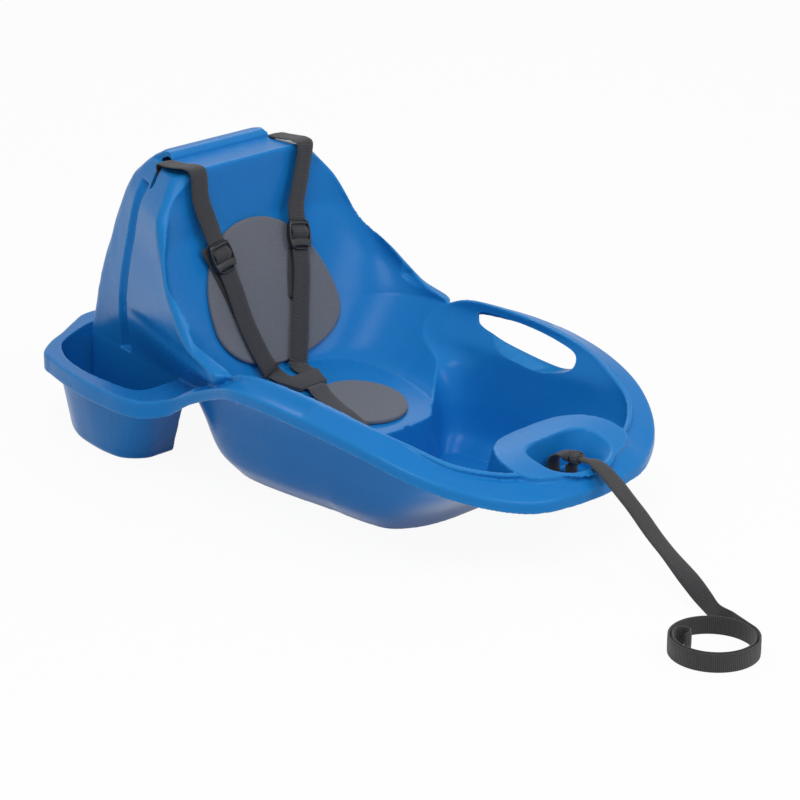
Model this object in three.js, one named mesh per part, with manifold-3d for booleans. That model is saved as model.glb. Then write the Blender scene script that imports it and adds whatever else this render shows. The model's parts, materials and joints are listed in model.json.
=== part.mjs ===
// Baby pull sled: one moulded shell with foam pads, a shoulder harness and a tow strap.
// Millimetres, +X to the nose, +Y to the child's left, +Z up, the ground at z = 0.
import * as THREE from "three";
import { mergeVertices } from "three/addons/utils/BufferGeometryUtils.js";
import Module from "manifold-3d";

const wasm = await Module();
wasm.setup();

// Driving sizes of the moulding
const LENGTH = 805;
const WIDTH = 426;
const BACK_HEIGHT = 352;
const HANDLE_HEIGHT = 155;
const NOSE_HEIGHT = 80;
const BUCKET_HEIGHT = 99;
const WALL = 4;
const FLOOR_EDGE = 22;
const SILL_HEIGHT = 119;
const SEAT_REAR_HEIGHT = 96;
const SEAT_FRONT_HEIGHT = 71;
const LIP = 13;
const BUCKET_LIP = 21;
const CREST_RISE = 11;
const CREST_INSET = 24;
const RIM_WIDTH = 34;
const BAND = 13;
const LEDGE_DROP = 11;
const LEDGE_HEIGHT = BACK_HEIGHT - LEDGE_DROP;
const HOOD_HALF_WIDTH = 76;
const HANDLE_BAR = 13;
const SLOT_LENGTH = 30;
const SLOT_WIDTH = 9;
const FLUTE_RADIUS = 14;
const CONSOLE_HEIGHT = 117;
const CONSOLE_HALF_WIDTH = 78;
const RECESS_DEPTH = 42;
const TOW_BAR = 12;

// Driving sizes of the soft and loose pieces
const GAP = 0.4;
const PAD_THICKNESS = 5;
const BACK_PAD_HALF_WIDTH = 100;
const SEAT_PAD_SHARE = 0.134;
const SEAT_PAD_RADIUS = SEAT_PAD_SHARE * (LENGTH / 2);
const WEBBING_WIDTH = 25;
const WEBBING = 1.6;
const TOW_WEBBING_WIDTH = 20;
const TOW_WEBBING = 2.2;
const KNOT_LENGTH = 18;
const KNOT_WIDTH = 24;
const KNOT_HEIGHT = 14;
const KNOT_RISE = 27;
const COIL_RADIUS = 47;
const COIL_PITCH = 4.2;
const ADJUSTER_LENGTH = 38;
const ADJUSTER_WIDTH = 34;
const ADJUSTER_THICKNESS = 8;
const OVERRUN = 60;
const FINEST = 0.05;

const halfLength = LENGTH / 2;
const halfWidth = WIDTH / 2;

const blue = new THREE.MeshStandardMaterial({ color: 0x2f7fc4, roughness: 0.22, metalness: 0 });
const foam = new THREE.MeshStandardMaterial({ color: 0x55565c, roughness: 0.95, metalness: 0 });
const web = new THREE.MeshStandardMaterial({ color: 0x26262a, roughness: 0.85, metalness: 0 });
const acetal = new THREE.MeshStandardMaterial({ color: 0x16171a, roughness: 0.35, metalness: 0 });

// A closed geometry as a manifold, and a manifold as a geometry again
function solid(geometry) {
  const bare = geometry.clone();
  bare.deleteAttribute("normal");
  bare.deleteAttribute("uv");
  const merged = mergeVertices(bare, 1e-4);
  return new wasm.Manifold(
    new wasm.Mesh({
      numProp: 3,
      vertProperties: merged.attributes.position.array,
      triVerts: new Uint32Array(merged.index.array),
    }),
  );
}

function geometryOf(body) {
  const mesh = body.getMesh();
  const geometry = new THREE.BufferGeometry();
  geometry.setAttribute("position", new THREE.BufferAttribute(mesh.vertProperties, 3));
  geometry.setIndex(new THREE.BufferAttribute(mesh.triVerts, 1));
  const flat = geometry.toNonIndexed();
  flat.computeVertexNormals();
  return flat;
}

// A closed body through rings of equally many points, capped at both ends or joined end to start
function skin(rings, joined = false) {
  const count = rings[0].length;
  const positions = rings.flat().flatMap((p) => [p.x, p.y, p.z]);
  const index = [];
  const last = joined ? rings.length : rings.length - 1;
  for (let i = 0; i < last; i += 1) {
    const low = i * count;
    const high = ((i + 1) % rings.length) * count;
    for (let j = 0; j < count; j += 1) {
      const k = (j + 1) % count;
      index.push(low + j, low + k, high + k, low + j, high + k, high + j);
    }
  }
  if (!joined) {
    const flats = [rings[0], rings[rings.length - 1]].map((ring) => flatten(ring));
    const starts = [0, (rings.length - 1) * count];
    flats.forEach((flat, end) => {
      for (const [a, b, c] of THREE.ShapeUtils.triangulateShape(flat, [])) {
        const face = [starts[end] + a, starts[end] + b, starts[end] + c];
        index.push(...(end === 0 ? face.reverse() : face));
      }
    });
  }
  const geometry = new THREE.BufferGeometry();
  geometry.setAttribute("position", new THREE.Float32BufferAttribute(positions, 3));
  geometry.setIndex(index);
  const made = solid(geometry);
  if (made.volume() > 0) return made;
  for (let i = 0; i < index.length; i += 3) index.splice(i, 3, index[i + 2], index[i + 1], index[i]);
  geometry.setIndex(index);
  return solid(geometry);
}

// A ring's points in its own plane, for its cap
function flatten(ring) {
  const middle = ring.reduce((sum, p) => sum.add(p), new THREE.Vector3()).divideScalar(ring.length);
  const normal = new THREE.Vector3();
  ring.forEach((p, i) => {
    const a = p.clone().sub(middle);
    const b = ring[(i + 1) % ring.length].clone().sub(middle);
    normal.add(a.cross(b));
  });
  normal.normalize();
  const across = new THREE.Vector3(1, 0, 0);
  if (Math.abs(normal.x) > 0.9) across.set(0, 1, 0);
  across.cross(normal).normalize();
  const up = normal.clone().cross(across);
  return ring.map((p) => {
    const q = p.clone().sub(middle);
    return new THREE.Vector2(q.dot(across), q.dot(up));
  });
}

// Outlines in plan: half an outline from the nose round to the back, in shares, mirrored to a whole
function plan(shares) {
  return shares.map(([u, v]) => new THREE.Vector2(u * halfLength, v * halfWidth));
}

function smooth(half, count) {
  const curve = new THREE.SplineCurve(half);
  const line = [];
  for (let i = 0; i <= count; i += 1) line.push(curve.getPoint(i / count));
  return line;
}

function whole(half) {
  const mirrored = half.slice(1, -1).reverse();
  return [...half, ...mirrored.map((p) => new THREE.Vector2(p.x, -p.y))];
}

// Every point of a closed outline moved outwards by a distance
function grow(outline, distance) {
  const turn = THREE.ShapeUtils.area(outline) > 0 ? 1 : -1;
  return outline.map((p, i) => {
    const before = outline[(i + outline.length - 1) % outline.length];
    const after = outline[(i + 1) % outline.length];
    const along = after.clone().sub(before).normalize();
    return new THREE.Vector2(p.x + along.y * distance * turn, p.y - along.x * distance * turn);
  });
}

function level(outline, height) {
  return outline.map((p) => new THREE.Vector3(p.x, p.y, typeof height === "number" ? height : height(p)));
}

function stack(levels) {
  return skin(levels.map(([outline, height]) => level(outline, height)));
}

function mix(a, b, share) {
  return a + (b - a) * share;
}

function along(table, x) {
  let i = 0;
  while (i < table.length - 2 && table[i + 1][0] < x) i += 1;
  const share = (x - table[i][0]) / (table[i + 1][0] - table[i][0]);
  return mix(table[i][1], table[i + 1][1], Math.min(Math.max(share, 0), 1));
}

// A prism over a plan outline, and a prism across the sled over a side view
function upright(outline, low, high) {
  return stack([
    [outline, low],
    [outline, high],
  ]);
}

function crossways(points, half) {
  const ring = (y) => points.map((p) => new THREE.Vector3(p.x, y, p.y));
  return skin([ring(-half), ring(half)]);
}

// Rim: outer edge from the nose round the handles and the waist to the bucket
const rimFrontShares = [
  [1, 0, 0],
  [0.994, 0.18, 0.01],
  [0.981, 0.352, 0.03],
  [0.957, 0.469, 0.06],
  [0.904, 0.643, 0.19],
  [0.82, 0.798, 0.37],
  [0.725, 0.901, 0.56],
  [0.611, 0.958, 0.75],
  [0.477, 0.991, 0.89],
  [0.33, 1, 0.975],
  [0.196, 0.988, 1],
  [0.097, 0.967, 0.97],
];
const rimRearShares = [
  [0.015, 0.92, 0.77],
  [-0.055, 0.897, 0.57],
  [-0.149, 0.878, 0.27],
  [-0.211, 0.873, 0.07],
  [-0.25, 0.92, 0.01],
  [-0.285, 0.965, 0],
  [-0.348, 0.986, 0],
  [-0.435, 0.972, 0],
  [-0.542, 0.944, 0],
  [-0.671, 0.883, 0],
  [-0.748, 0.836, 0],
  [-0.802, 0.798, 0],
  [-0.87, 0.643, 0],
  [-0.907, 0.507, 0],
  [-0.964, 0.324, 0],
  [-0.998, 0.2, 0],
  [-1, 0, 0],
];
const RIM_STEPS = 56;
const rimPoints = [
  ...rimFrontShares.map(([u, v, w]) => [u, v, mix(NOSE_HEIGHT, HANDLE_HEIGHT, w)]),
  ...rimRearShares.map(([u, v, w]) => [u, v, mix(BUCKET_HEIGHT, HANDLE_HEIGHT, w)]),
].map(([u, v, z]) => new THREE.Vector3(u * halfLength, v * halfWidth, z));
const rimCurve = new THREE.CatmullRomCurve3(rimPoints, false, "centripetal");
const rimHalf = [];
for (let i = 0; i <= RIM_STEPS; i += 1) rimHalf.push(rimCurve.getPoint(i / RIM_STEPS));
const rimLoop = [
  ...rimHalf,
  ...rimHalf
    .slice(1, -1)
    .reverse()
    .map((p) => new THREE.Vector3(p.x, -p.y, p.z)),
];

// Rim section: the inset and the rise of its crest, its width and its lip, by place along the sled
const crestInsetShares = [
  [-1, 0.6],
  [-0.25, 0.6],
  [0.05, 1],
  [0.7, 1.15],
  [1, 0.95],
];
const crestRiseShares = [
  [-1, 0],
  [-0.25, 0],
  [0.1, 1],
  [0.75, 0.9],
  [0.9, 1.1],
  [1, 1.7],
];
const rimWidthShares = [
  [-1, 0.74],
  [-0.25, 0.74],
  [0.05, 1],
  [0.7, 1.15],
  [1, 0.95],
];
const innerDropShares = [
  [-1, 0],
  [-0.25, 0],
  [0.1, 1],
  [0.6, 1],
  [0.8, 0.2],
  [1, 0],
];
function rimSize(shares, x) {
  return along(shares, x / halfLength);
}
const lipShares = [
  [-1, 0],
  [-0.25, 0],
  [-0.1, 1],
  [1, 1],
];
function lipAt(x) {
  return mix(BUCKET_LIP, LIP, rimSize(lipShares, x));
}
function crestAt(x) {
  const edge = rimHalf.reduce((best, p) => (Math.abs(p.x - x) < Math.abs(best.x - x) ? p : best));
  return edge.z + CREST_RISE * rimSize(crestRiseShares, x);
}

function rimSection(p, x) {
  const inset = CREST_INSET * rimSize(crestInsetShares, x);
  const rise = CREST_RISE * rimSize(crestRiseShares, x);
  const width = RIM_WIDTH * rimSize(rimWidthShares, x);
  const drop = Math.max(HANDLE_BAR * rimSize(innerDropShares, x), 2 * WALL);
  const lip = lipAt(x);
  return [
    [0, -lip],
    [0, -WALL / 2],
    [WALL / 2, 0],
    [inset, rise],
    [width - WALL, rise],
    [width, rise - WALL / 2],
    [width, rise - drop],
    [width - WALL, rise - drop],
    [width - WALL, rise - WALL],
    [inset, rise - WALL],
    [WALL, -WALL],
    [WALL, -lip],
  ];
}

function rimStation(i) {
  const count = rimLoop.length;
  const here = rimLoop[i];
  const before = rimLoop[(i + count - 1) % count];
  const after = rimLoop[(i + 1) % count];
  const inward = new THREE.Vector3(before.y - after.y, after.x - before.x, 0).normalize();
  return rimSection(here, here.x).map(([u, v]) =>
    here.clone().addScaledVector(inward, u).add(new THREE.Vector3(0, 0, v)),
  );
}
const rim = skin(
  rimLoop.map((_, i) => rimStation(i)),
  true,
);

// Turns a half outline with sharp corners into one whose corners are rounded by the same length
const CORNER_SHARE = 0.4;
const CORNER_STEPS = 3;
function eased(half, radius) {
  const line = [half[0]];
  for (let i = 1; i < half.length - 1; i += 1) {
    const [before, here, after] = [half[i - 1], half[i], half[i + 1]];
    const back = before.clone().sub(here);
    const ahead = after.clone().sub(here);
    const reach = Math.min(radius, back.length() * CORNER_SHARE, ahead.length() * CORNER_SHARE);
    const start = here.clone().addScaledVector(back.normalize(), reach);
    const end = here.clone().addScaledVector(ahead.normalize(), reach);
    for (let k = 0; k <= CORNER_STEPS; k += 1) {
      const t = k / CORNER_STEPS;
      const p = start.clone().multiplyScalar((1 - t) * (1 - t));
      p.addScaledVector(here, 2 * t * (1 - t));
      line.push(p.addScaledVector(end, t * t));
    }
  }
  line.push(half[half.length - 1]);
  return line;
}

// Leg well: its outlines at the floor, over the floor's edge, at the shins, the nose, the sill and the rim
const legFloorShares = [
  [0.537, 0],
  [0.532, 0.21],
  [0.512, 0.365],
  [0.467, 0.48],
  [0.4, 0.507],
  [0.323, 0.51],
  [0.268, 0.505],
  [0.234, 0.48],
  [0.219, 0.42],
  [0.248, 0.33],
  [0.281, 0.21],
  [0.291, 0],
];
const legEdgeShares = [
  [0.591, 0],
  [0.584, 0.235],
  [0.561, 0.43],
  [0.512, 0.555],
  [0.427, 0.6],
  [0.323, 0.605],
  [0.258, 0.6],
  [0.209, 0.555],
  [0.196, 0.46],
  [0.241, 0.32],
  [0.276, 0.21],
  [0.288, 0],
];
const legShinShares = [
  [0.745, 0],
  [0.738, 0.245],
  [0.705, 0.47],
  [0.631, 0.61],
  [0.522, 0.652],
  [0.393, 0.652],
  [0.281, 0.652],
  [0.196, 0.605],
  [0.179, 0.488],
  [0.231, 0.32],
  [0.273, 0.21],
  [0.286, 0],
];
const legNoseShares = [
  [0.919, 0],
  [0.907, 0.263],
  [0.857, 0.488],
  [0.758, 0.648],
  [0.621, 0.695],
  [0.46, 0.69],
  [0.303, 0.69],
  [0.176, 0.648],
  [0.129, 0.52],
  [0.197, 0.34],
  [0.262, 0.216],
  [0.283, 0],
];
const legSillShares = [
  [0.922, 0],
  [0.912, 0.272],
  [0.867, 0.493],
  [0.773, 0.676],
  [0.641, 0.714],
  [0.472, 0.709],
  [0.303, 0.709],
  [0.12, 0.694],
  [0.03, 0.625],
  [0.14, 0.39],
  [0.245, 0.22],
  [0.281, 0],
];
const legTopShares = [
  [0.924, 0],
  [0.914, 0.272],
  [0.87, 0.498],
  [0.775, 0.704],
  [0.651, 0.807],
  [0.472, 0.836],
  [0.29, 0.845],
  [0.06, 0.83],
  [-0.075, 0.737],
  [0.07, 0.43],
  [0.22, 0.235],
  [0.278, 0],
];
const legBrowShares = [
  [0.924, 0],
  [0.914, 0.272],
  [0.87, 0.498],
  [0.775, 0.704],
  [0.651, 0.807],
  [0.472, 0.836],
  [0.26, 0.845],
  [0.01, 0.84],
  [-0.14, 0.8],
  [0.02, 0.47],
  [0.2, 0.25],
  [0.278, 0],
];
// Hull behind the leg well, at the same levels
const hullFloorShares = [
  [0.05, 0.516],
  [-0.1, 0.488],
  [-0.19, 0.376],
  [-0.245, 0.188],
  [-0.26, 0],
];
const hullEdgeShares = [
  [0.05, 0.605],
  [-0.124, 0.57],
  [-0.229, 0.451],
  [-0.278, 0.235],
  [-0.291, 0],
];
const hullShinShares = [
  [0.05, 0.652],
  [-0.149, 0.615],
  [-0.258, 0.498],
  [-0.318, 0.258],
  [-0.33, 0],
];
const hullNoseShares = [
  [0.05, 0.69],
  [-0.169, 0.648],
  [-0.303, 0.53],
  [-0.358, 0.282],
  [-0.368, 0],
];
const hullSillShares = [
  [0.05, 0.709],
  [-0.174, 0.662],
  [-0.313, 0.54],
  [-0.363, 0.286],
  [-0.373, 0],
];
const hullTopShares = [
  [0.05, 0.831],
  [-0.124, 0.742],
  [-0.303, 0.601],
  [-0.363, 0.329],
  [-0.373, 0],
];
const LEG_STEPS = 22;
const SHIN_SHARE = 0.4;
const legShares = [legFloorShares, legEdgeShares, legShinShares, legNoseShares, legSillShares, legTopShares];
const rearShares = [
  hullFloorShares,
  hullEdgeShares,
  hullShinShares,
  hullNoseShares,
  hullSillShares,
  hullTopShares,
];
const NOSE_FLOOR_HEIGHT = 100;
const legHeights = [
  WALL,
  FLOOR_EDGE + WALL / 2,
  mix(FLOOR_EDGE, NOSE_FLOOR_HEIGHT, SHIN_SHARE) + CREST_RISE,
  NOSE_FLOOR_HEIGHT,
  SILL_HEIGHT,
  HANDLE_HEIGHT,
];
const legOutlines = legShares.map((shares) => whole(smooth(plan(shares), LEG_STEPS)));
const hullOutlines = legShares.map((shares, i) =>
  whole(smooth(plan([...shares.slice(0, -rearShares[i].length), ...rearShares[i]]), LEG_STEPS)),
);
const topmost = BACK_HEIGHT + OVERRUN;
const legBrow = whole(smooth(plan(legBrowShares), LEG_STEPS));
const browHeight = HANDLE_HEIGHT + 2 * CREST_RISE;
const legTool = (distance, shift) =>
  stack([
    ...legOutlines.map((outline, i) => [grow(outline, distance), legHeights[i] + shift]),
    [grow(legBrow, distance), browHeight + shift],
    [grow(legBrow, distance), topmost],
  ]);
const hullTool = (distance, shift) =>
  stack(hullOutlines.map((outline, i) => [grow(outline, distance), (i === 0 ? 0 : legHeights[i]) + shift]));

// Everything below the line of the rim's crest
const CREST_STEPS = 42;
const crestLine = [];
for (let i = 0; i <= CREST_STEPS; i += 1) {
  const x = mix(halfLength + OVERRUN, -halfLength - OVERRUN, i / CREST_STEPS);
  crestLine.push(new THREE.Vector2(x, crestAt(x) - WALL / 4));
}
const belowCrest = crossways(
  [
    ...crestLine,
    new THREE.Vector2(-halfLength - OVERRUN, -OVERRUN),
    new THREE.Vector2(halfLength + OVERRUN, -OVERRUN),
  ],
  WIDTH,
);

// Seat and back: one hollow form from the tilted seat up between the wings
const seatShares = [
  [0.281, 0],
  [0.278, 0.141],
  [0.268, 0.221],
  [0.239, 0.3],
  [0.181, 0.376],
  [0.099, 0.418],
];
// Height, the back's middle, then the wing's inner edge, as shares of the back's height, half length, half width
const backShares = [
  [0.23, -0.256, 0.052, 0.831],
  [0.409, -0.298, -0.169, 0.803],
  [0.587, -0.341, -0.251, 0.751],
  [0.67, -0.358, -0.278, 0.7],
  [0.758, -0.358, -0.303, 0.657],
  [0.849, -0.356, -0.336, 0.573],
  [0.924, -0.353, -0.343, 0.446],
];
const SEAT_REAR_SHARE = -0.191;
const SEAT_SIDE_SHARE = 0.052;
const SEAT_HALF_WIDTH = 92;
const BACK_POWER_SHARE = 0.72;
const BACK_STEPS = 9;
const upBack = (share) => mix(SEAT_REAR_HEIGHT, BACK_HEIGHT, share);
const seatRearX = SEAT_REAR_SHARE * halfLength;
const seatFrontX = seatShares[0][0] * halfLength;
function seatHeight(x) {
  return mix(SEAT_FRONT_HEIGHT, SEAT_REAR_HEIGHT, (seatFrontX - x) / (seatFrontX - seatRearX));
}
function backArc(sideX, sideY, rearX) {
  const line = [];
  for (let i = 0; i <= BACK_STEPS; i += 1) {
    const angle = (Math.PI / 2) * (i / BACK_STEPS);
    const u = Math.sin(angle) ** BACK_POWER_SHARE;
    const v = Math.cos(angle) ** BACK_POWER_SHARE;
    line.push(new THREE.Vector2(mix(sideX, rearX, u), sideY * Math.max(v, 0)));
  }
  line[line.length - 1].y = 0;
  return line;
}
const FRONT_REACH = 150;
const frontReachShares = [
  [1, 0],
  [1, 0.4],
  [0.98, 0.75],
  [0.9, 0.95],
  [0.6, 1],
  [0.3, 1],
];
function seatOutline(distance) {
  const front = plan(seatShares);
  const arc = backArc(SEAT_SIDE_SHARE * halfLength, SEAT_HALF_WIDTH, seatRearX);
  return grow(whole([...front, ...arc]), distance);
}
function backOutline([, rear, sideX, sideY], distance) {
  const x = sideX * halfLength;
  const y = sideY * halfWidth;
  const front = frontReachShares.map(([u, v]) => new THREE.Vector2(mix(x, FRONT_REACH, u), y * v));
  return grow(whole([...front, ...backArc(x, y, rear * halfLength)]), distance);
}
function seatTool(distance, drop) {
  const levels = backShares.map((row) => [backOutline(row, distance), upBack(row[0])]);
  const last = backOutline(backShares[backShares.length - 1], distance);
  return skin([
    level(seatOutline(distance), (p) => seatHeight(p.x) - drop),
    ...levels.map(([outline, height]) => level(outline, height)),
    level(last, topmost),
  ]);
}

// Hood: the wing's outer edge and the rear corner by height, shares of the back's height, half length, half width
const hoodShares = [
  [0.281, 0.012, 0.704, -0.87],
  [0.315, 0.012, 0.73, -0.862],
  [0.44, 0.005, 0.915, -0.83],
  [0.486, -0.094, 0.892, -0.816],
  [0.568, -0.176, 0.85, -0.79],
  [0.693, -0.283, 0.746, -0.742],
  [0.824, -0.345, 0.676, -0.686],
  [0.89, -0.362, 0.59, -0.648],
  [0.945, -0.38, 0.51, -0.592],
  [0.975, -0.39, 0.45, -0.553],
  [1, -0.4, 0.4, -0.51],
];
const HOOD_CORNER = 12;
const hoodSideShares = [0.25, 0.5, 0.75];
function hoodHalf([, frontX, frontY, rearX]) {
  const front = new THREE.Vector2(frontX * halfLength, frontY * halfWidth);
  const corner = new THREE.Vector2(rearX * halfLength, HOOD_HALF_WIDTH);
  const sides = hoodSideShares.map((share) => front.clone().lerp(corner, share));
  const sharp = [
    new THREE.Vector2(front.x + BAND, 0),
    new THREE.Vector2(front.x + BAND, front.y - BAND),
    front,
    ...sides,
    corner,
    new THREE.Vector2(corner.x, 0),
  ];
  return eased(sharp, HOOD_CORNER);
}
function hoodSideAt(height, x) {
  const share = height / BACK_HEIGHT;
  const at = (column) => along(hoodShares.map((row) => [row[0], row[column]]), share);
  const front = [at(1) * halfLength, at(2) * halfWidth];
  const corner = [at(3) * halfLength, HOOD_HALF_WIDTH];
  return mix(front[1], corner[1], (front[0] - x) / (front[0] - corner[0]));
}
const hoodTool = (distance, topDistance = distance) =>
  stack(
    hoodShares.map((row, i) => [
      grow(whole(hoodHalf(row)), i === hoodShares.length - 1 ? topDistance : distance),
      row[0] * BACK_HEIGHT,
    ]),
  );


// Bucket: its mouth and its floor, and the deck round it following the rim
const bucketTopShares = [
  [-0.318, 0],
  [-0.318, 0.329],
  [-0.316, 0.657],
  [-0.316, 0.826],
  [-0.353, 0.878],
  [-0.502, 0.869],
  [-0.606, 0.845],
  [-0.725, 0.775],
  [-0.827, 0.653],
  [-0.875, 0.531],
  [-0.929, 0.31],
  [-0.942, 0.141],
  [-0.944, 0],
];
const bucketFloorShares = [
  [-0.402, 0],
  [-0.402, 0.329],
  [-0.402, 0.61],
  [-0.41, 0.714],
  [-0.457, 0.793],
  [-0.522, 0.803],
  [-0.606, 0.779],
  [-0.686, 0.737],
  [-0.765, 0.653],
  [-0.815, 0.563],
  [-0.86, 0.357],
  [-0.884, 0.16],
  [-0.887, 0],
];
const BUCKET_STEPS = 20;
const bucketTool = (distance, low, high) =>
  stack([
    [grow(whole(smooth(plan(bucketFloorShares), BUCKET_STEPS)), distance), low],
    [grow(whole(smooth(plan(bucketTopShares), BUCKET_STEPS)), distance), high],
  ]);

const RIM_INSET = WALL;
const insideRim = grow(
  rimLoop.map((p) => new THREE.Vector2(p.x, p.y)),
  -RIM_INSET,
);
const DECK_FRONT_SHARE = 0.06;
const DECK_STEPS = 24;
const deckLine = [];
for (let i = 0; i <= DECK_STEPS; i += 1) {
  const x = mix(DECK_FRONT_SHARE * halfLength, -halfLength - OVERRUN, i / DECK_STEPS);
  deckLine.push(new THREE.Vector2(x, crestAt(x)));
}
const deckUnder = deckLine.map((p) => new THREE.Vector2(p.x, p.y - WALL)).reverse();
const deck = crossways([...deckLine, ...deckUnder], WIDTH).intersect(
  upright(insideRim, -OVERRUN, topmost),
);

// Island: the hood's foot carried down between the bucket's arms
const ISLAND_FRONT_SHARE = -0.385;
const HOLLOW_FRONT_SHARE = -0.305;
const ISLAND_DRAFT = 4;
const foot = whole(hoodHalf(hoodShares[0]));
const islandTool = (distance, low, high) =>
  stack([
    [grow(foot, distance + ISLAND_DRAFT), low],
    [grow(foot, distance), high],
  ]);
const behind = (share) =>
  upright(
    [
      new THREE.Vector2(share * halfLength, WIDTH),
      new THREE.Vector2(-LENGTH, WIDTH),
      new THREE.Vector2(-LENGTH, -WIDTH),
      new THREE.Vector2(share * halfLength, -WIDTH),
    ],
    -OVERRUN,
    topmost,
  );

// Hood top: the roll behind the ledge, and the shoulders beyond the roll, lower and sloping outwards
const rollShares = [
  [-0.3, 0.969],
  [-0.445, 0.969],
  [-0.462, 0.985],
  [-0.485, 1],
  [-0.515, 1],
  [-0.545, 0.986],
  [-0.575, 0.96],
  [-0.62, 0.92],
];
const SHOULDER_DROP = 11;
const SHOULDER_FALL = 10;
const SHOULDER_RUN = 40;
const ROLL_HALF_WIDTH = 77;
const shoulderHigh = BACK_HEIGHT - SHOULDER_DROP;
const aboveRoll = crossways(
  [
    ...rollShares.map(([u, w]) => new THREE.Vector2(u * halfLength, w * BACK_HEIGHT)),
    new THREE.Vector2(-LENGTH, shoulderHigh - OVERRUN),
    new THREE.Vector2(-LENGTH, topmost),
    new THREE.Vector2(0, topmost),
    new THREE.Vector2(0, LEDGE_HEIGHT),
  ],
  WIDTH,
);
function shoulder(side, drop) {
  const section = [
    [ROLL_HALF_WIDTH, shoulderHigh - drop],
    [ROLL_HALF_WIDTH + SHOULDER_RUN, shoulderHigh - SHOULDER_FALL - drop],
    [WIDTH, shoulderHigh - SHOULDER_FALL - drop],
    [WIDTH, topmost],
    [ROLL_HALF_WIDTH, topmost],
  ];
  const ring = (x) => section.map(([y, z]) => new THREE.Vector3(x, side * y, z));
  return skin([ring(-LENGTH), ring(0)]);
}

// Flutes down the rear corners of the hood
const fluteShares = [
  [0.9, -0.535],
  [0.8, -0.56],
  [0.6, -0.597],
  [0.4, -0.63],
  [0.28, -0.65],
  [0.2, -0.665],
];
const FLUTE_SIDES = 10;
const FLUTE_SINK_SHARE = 0.4;
function flute(side, radius, rise = 0) {
  return skin(
    fluteShares.map(([heightShare, xShare], i) => {
      const z = heightShare * BACK_HEIGHT + (i === 0 ? rise : 0);
      const x = xShare * halfLength;
      const y = hoodSideAt(Math.max(z, hoodShares[0][0] * BACK_HEIGHT), x) + radius * FLUTE_SINK_SHARE;
      return circle(new THREE.Vector3(x, side * y, z), radius, FLUTE_SIDES);
    }),
  );
}
function circle(centre, radius, sides) {
  const ring = [];
  for (let i = 0; i < sides; i += 1) {
    const angle = (2 * Math.PI * i) / sides;
    const reach = new THREE.Vector3(Math.cos(angle), Math.sin(angle), 0).multiplyScalar(radius);
    ring.push(reach.add(centre));
  }
  return ring;
}

// Strap slots through the shoulders
const SLOT_X_SHARE = -0.478;
const slotX = SLOT_X_SHARE * halfLength;
const slotY = ROLL_HALF_WIDTH + SLOT_LENGTH / 2 - WALL / 2;
function slot(side) {
  const outline = [
    new THREE.Vector2(slotX - SLOT_WIDTH / 2, side * (slotY - SLOT_LENGTH / 2)),
    new THREE.Vector2(slotX + SLOT_WIDTH / 2, side * (slotY - SLOT_LENGTH / 2)),
    new THREE.Vector2(slotX + SLOT_WIDTH / 2, side * (slotY + SLOT_LENGTH / 2)),
    new THREE.Vector2(slotX - SLOT_WIDTH / 2, side * (slotY + SLOT_LENGTH / 2)),
  ];
  return upright(outline, shoulderHigh - OVERRUN, topmost);
}

// Handle windows through the tub's sides, between the sill and the bar
const windowShares = [
  [0.142, 0.97],
  [0.25, 0.97],
  [0.36, 0.93],
  [0.47, 0.85],
  [0.53, 0.7],
  [0.545, 0.45],
  [0.525, 0.1],
  [0.47, 0],
  [0.32, 0.1],
  [0.23, 0.25],
  [0.17, 0.5],
  [0.142, 0.72],
];
const windowOutline = windowShares.map(([u, w]) => {
  const x = u * halfLength;
  return new THREE.Vector2(x, mix(SILL_HEIGHT, crestAt(x) - HANDLE_BAR - GAP, w));
});
const WINDOW_INNER_SHARE = 0.6;
function handleWindow(side) {
  const ring = (y) => windowOutline.map((p) => new THREE.Vector3(p.x, side * y, p.y));
  return skin([ring(WINDOW_INNER_SHARE * halfWidth), ring(halfWidth - 2 * WALL)]);
}

// Console on the nose, with its funnel recess, the tow bar across the recess's floor and two slots beside it
const consoleTopShares = [
  [0.984, 0],
  [0.974, 0.235],
  [0.93, 0.39],
  [0.85, 0.41],
  [0.785, 0.35],
  [0.745, 0.235],
  [0.735, 0.1],
  [0.735, 0],
];
const consoleFootShares = [
  [0.9, 0],
  [0.895, 0.235],
  [0.87, 0.42],
  [0.79, 0.46],
  [0.72, 0.38],
  [0.675, 0.255],
  [0.655, 0.1],
  [0.655, 0],
];
const CONSOLE_WIDE_SHARE = 0.37;
const consoleWide = CONSOLE_HALF_WIDTH / (CONSOLE_WIDE_SHARE * halfWidth);
const recessTopShares = [
  [0.97, 0],
  [0.962, 0.13],
  [0.93, 0.225],
  [0.872, 0.262],
  [0.82, 0.24],
  [0.795, 0.15],
  [0.79, 0],
];
const recessFloorShares = [
  [0.915, 0],
  [0.908, 0.09],
  [0.885, 0.145],
  [0.85, 0.16],
  [0.82, 0.14],
  [0.806, 0.08],
  [0.806, 0],
];
const CONSOLE_STEPS = 14;
const CONSOLE_FRONT_HEIGHT = 82;
const CONSOLE_BROW_SHARE = 0.79;
const CONSOLE_NOSE_SHARE = 0.955;
const NOSE_MIX_SHARE = 0.5;
const CONSOLE_FOOT_HEIGHT = 30;
const HUMP_FOOT = 8;
const SKIRT_LOW = 88;
const SKIRT_HIGH = 101;
const widened = (shares) => shares.map(([u, v]) => [u, v * consoleWide]);
const consoleOutline = (shares) => whole(smooth(plan(widened(shares)), CONSOLE_STEPS));
const recessFloor = CONSOLE_HEIGHT - RECESS_DEPTH;
const consoleBody = (distance) =>
  stack([
    [grow(consoleOutline(consoleFootShares), distance), CONSOLE_FOOT_HEIGHT],
    [grow(consoleOutline(consoleTopShares), distance), CONSOLE_HEIGHT + OVERRUN / 4],
  ]);
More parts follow.
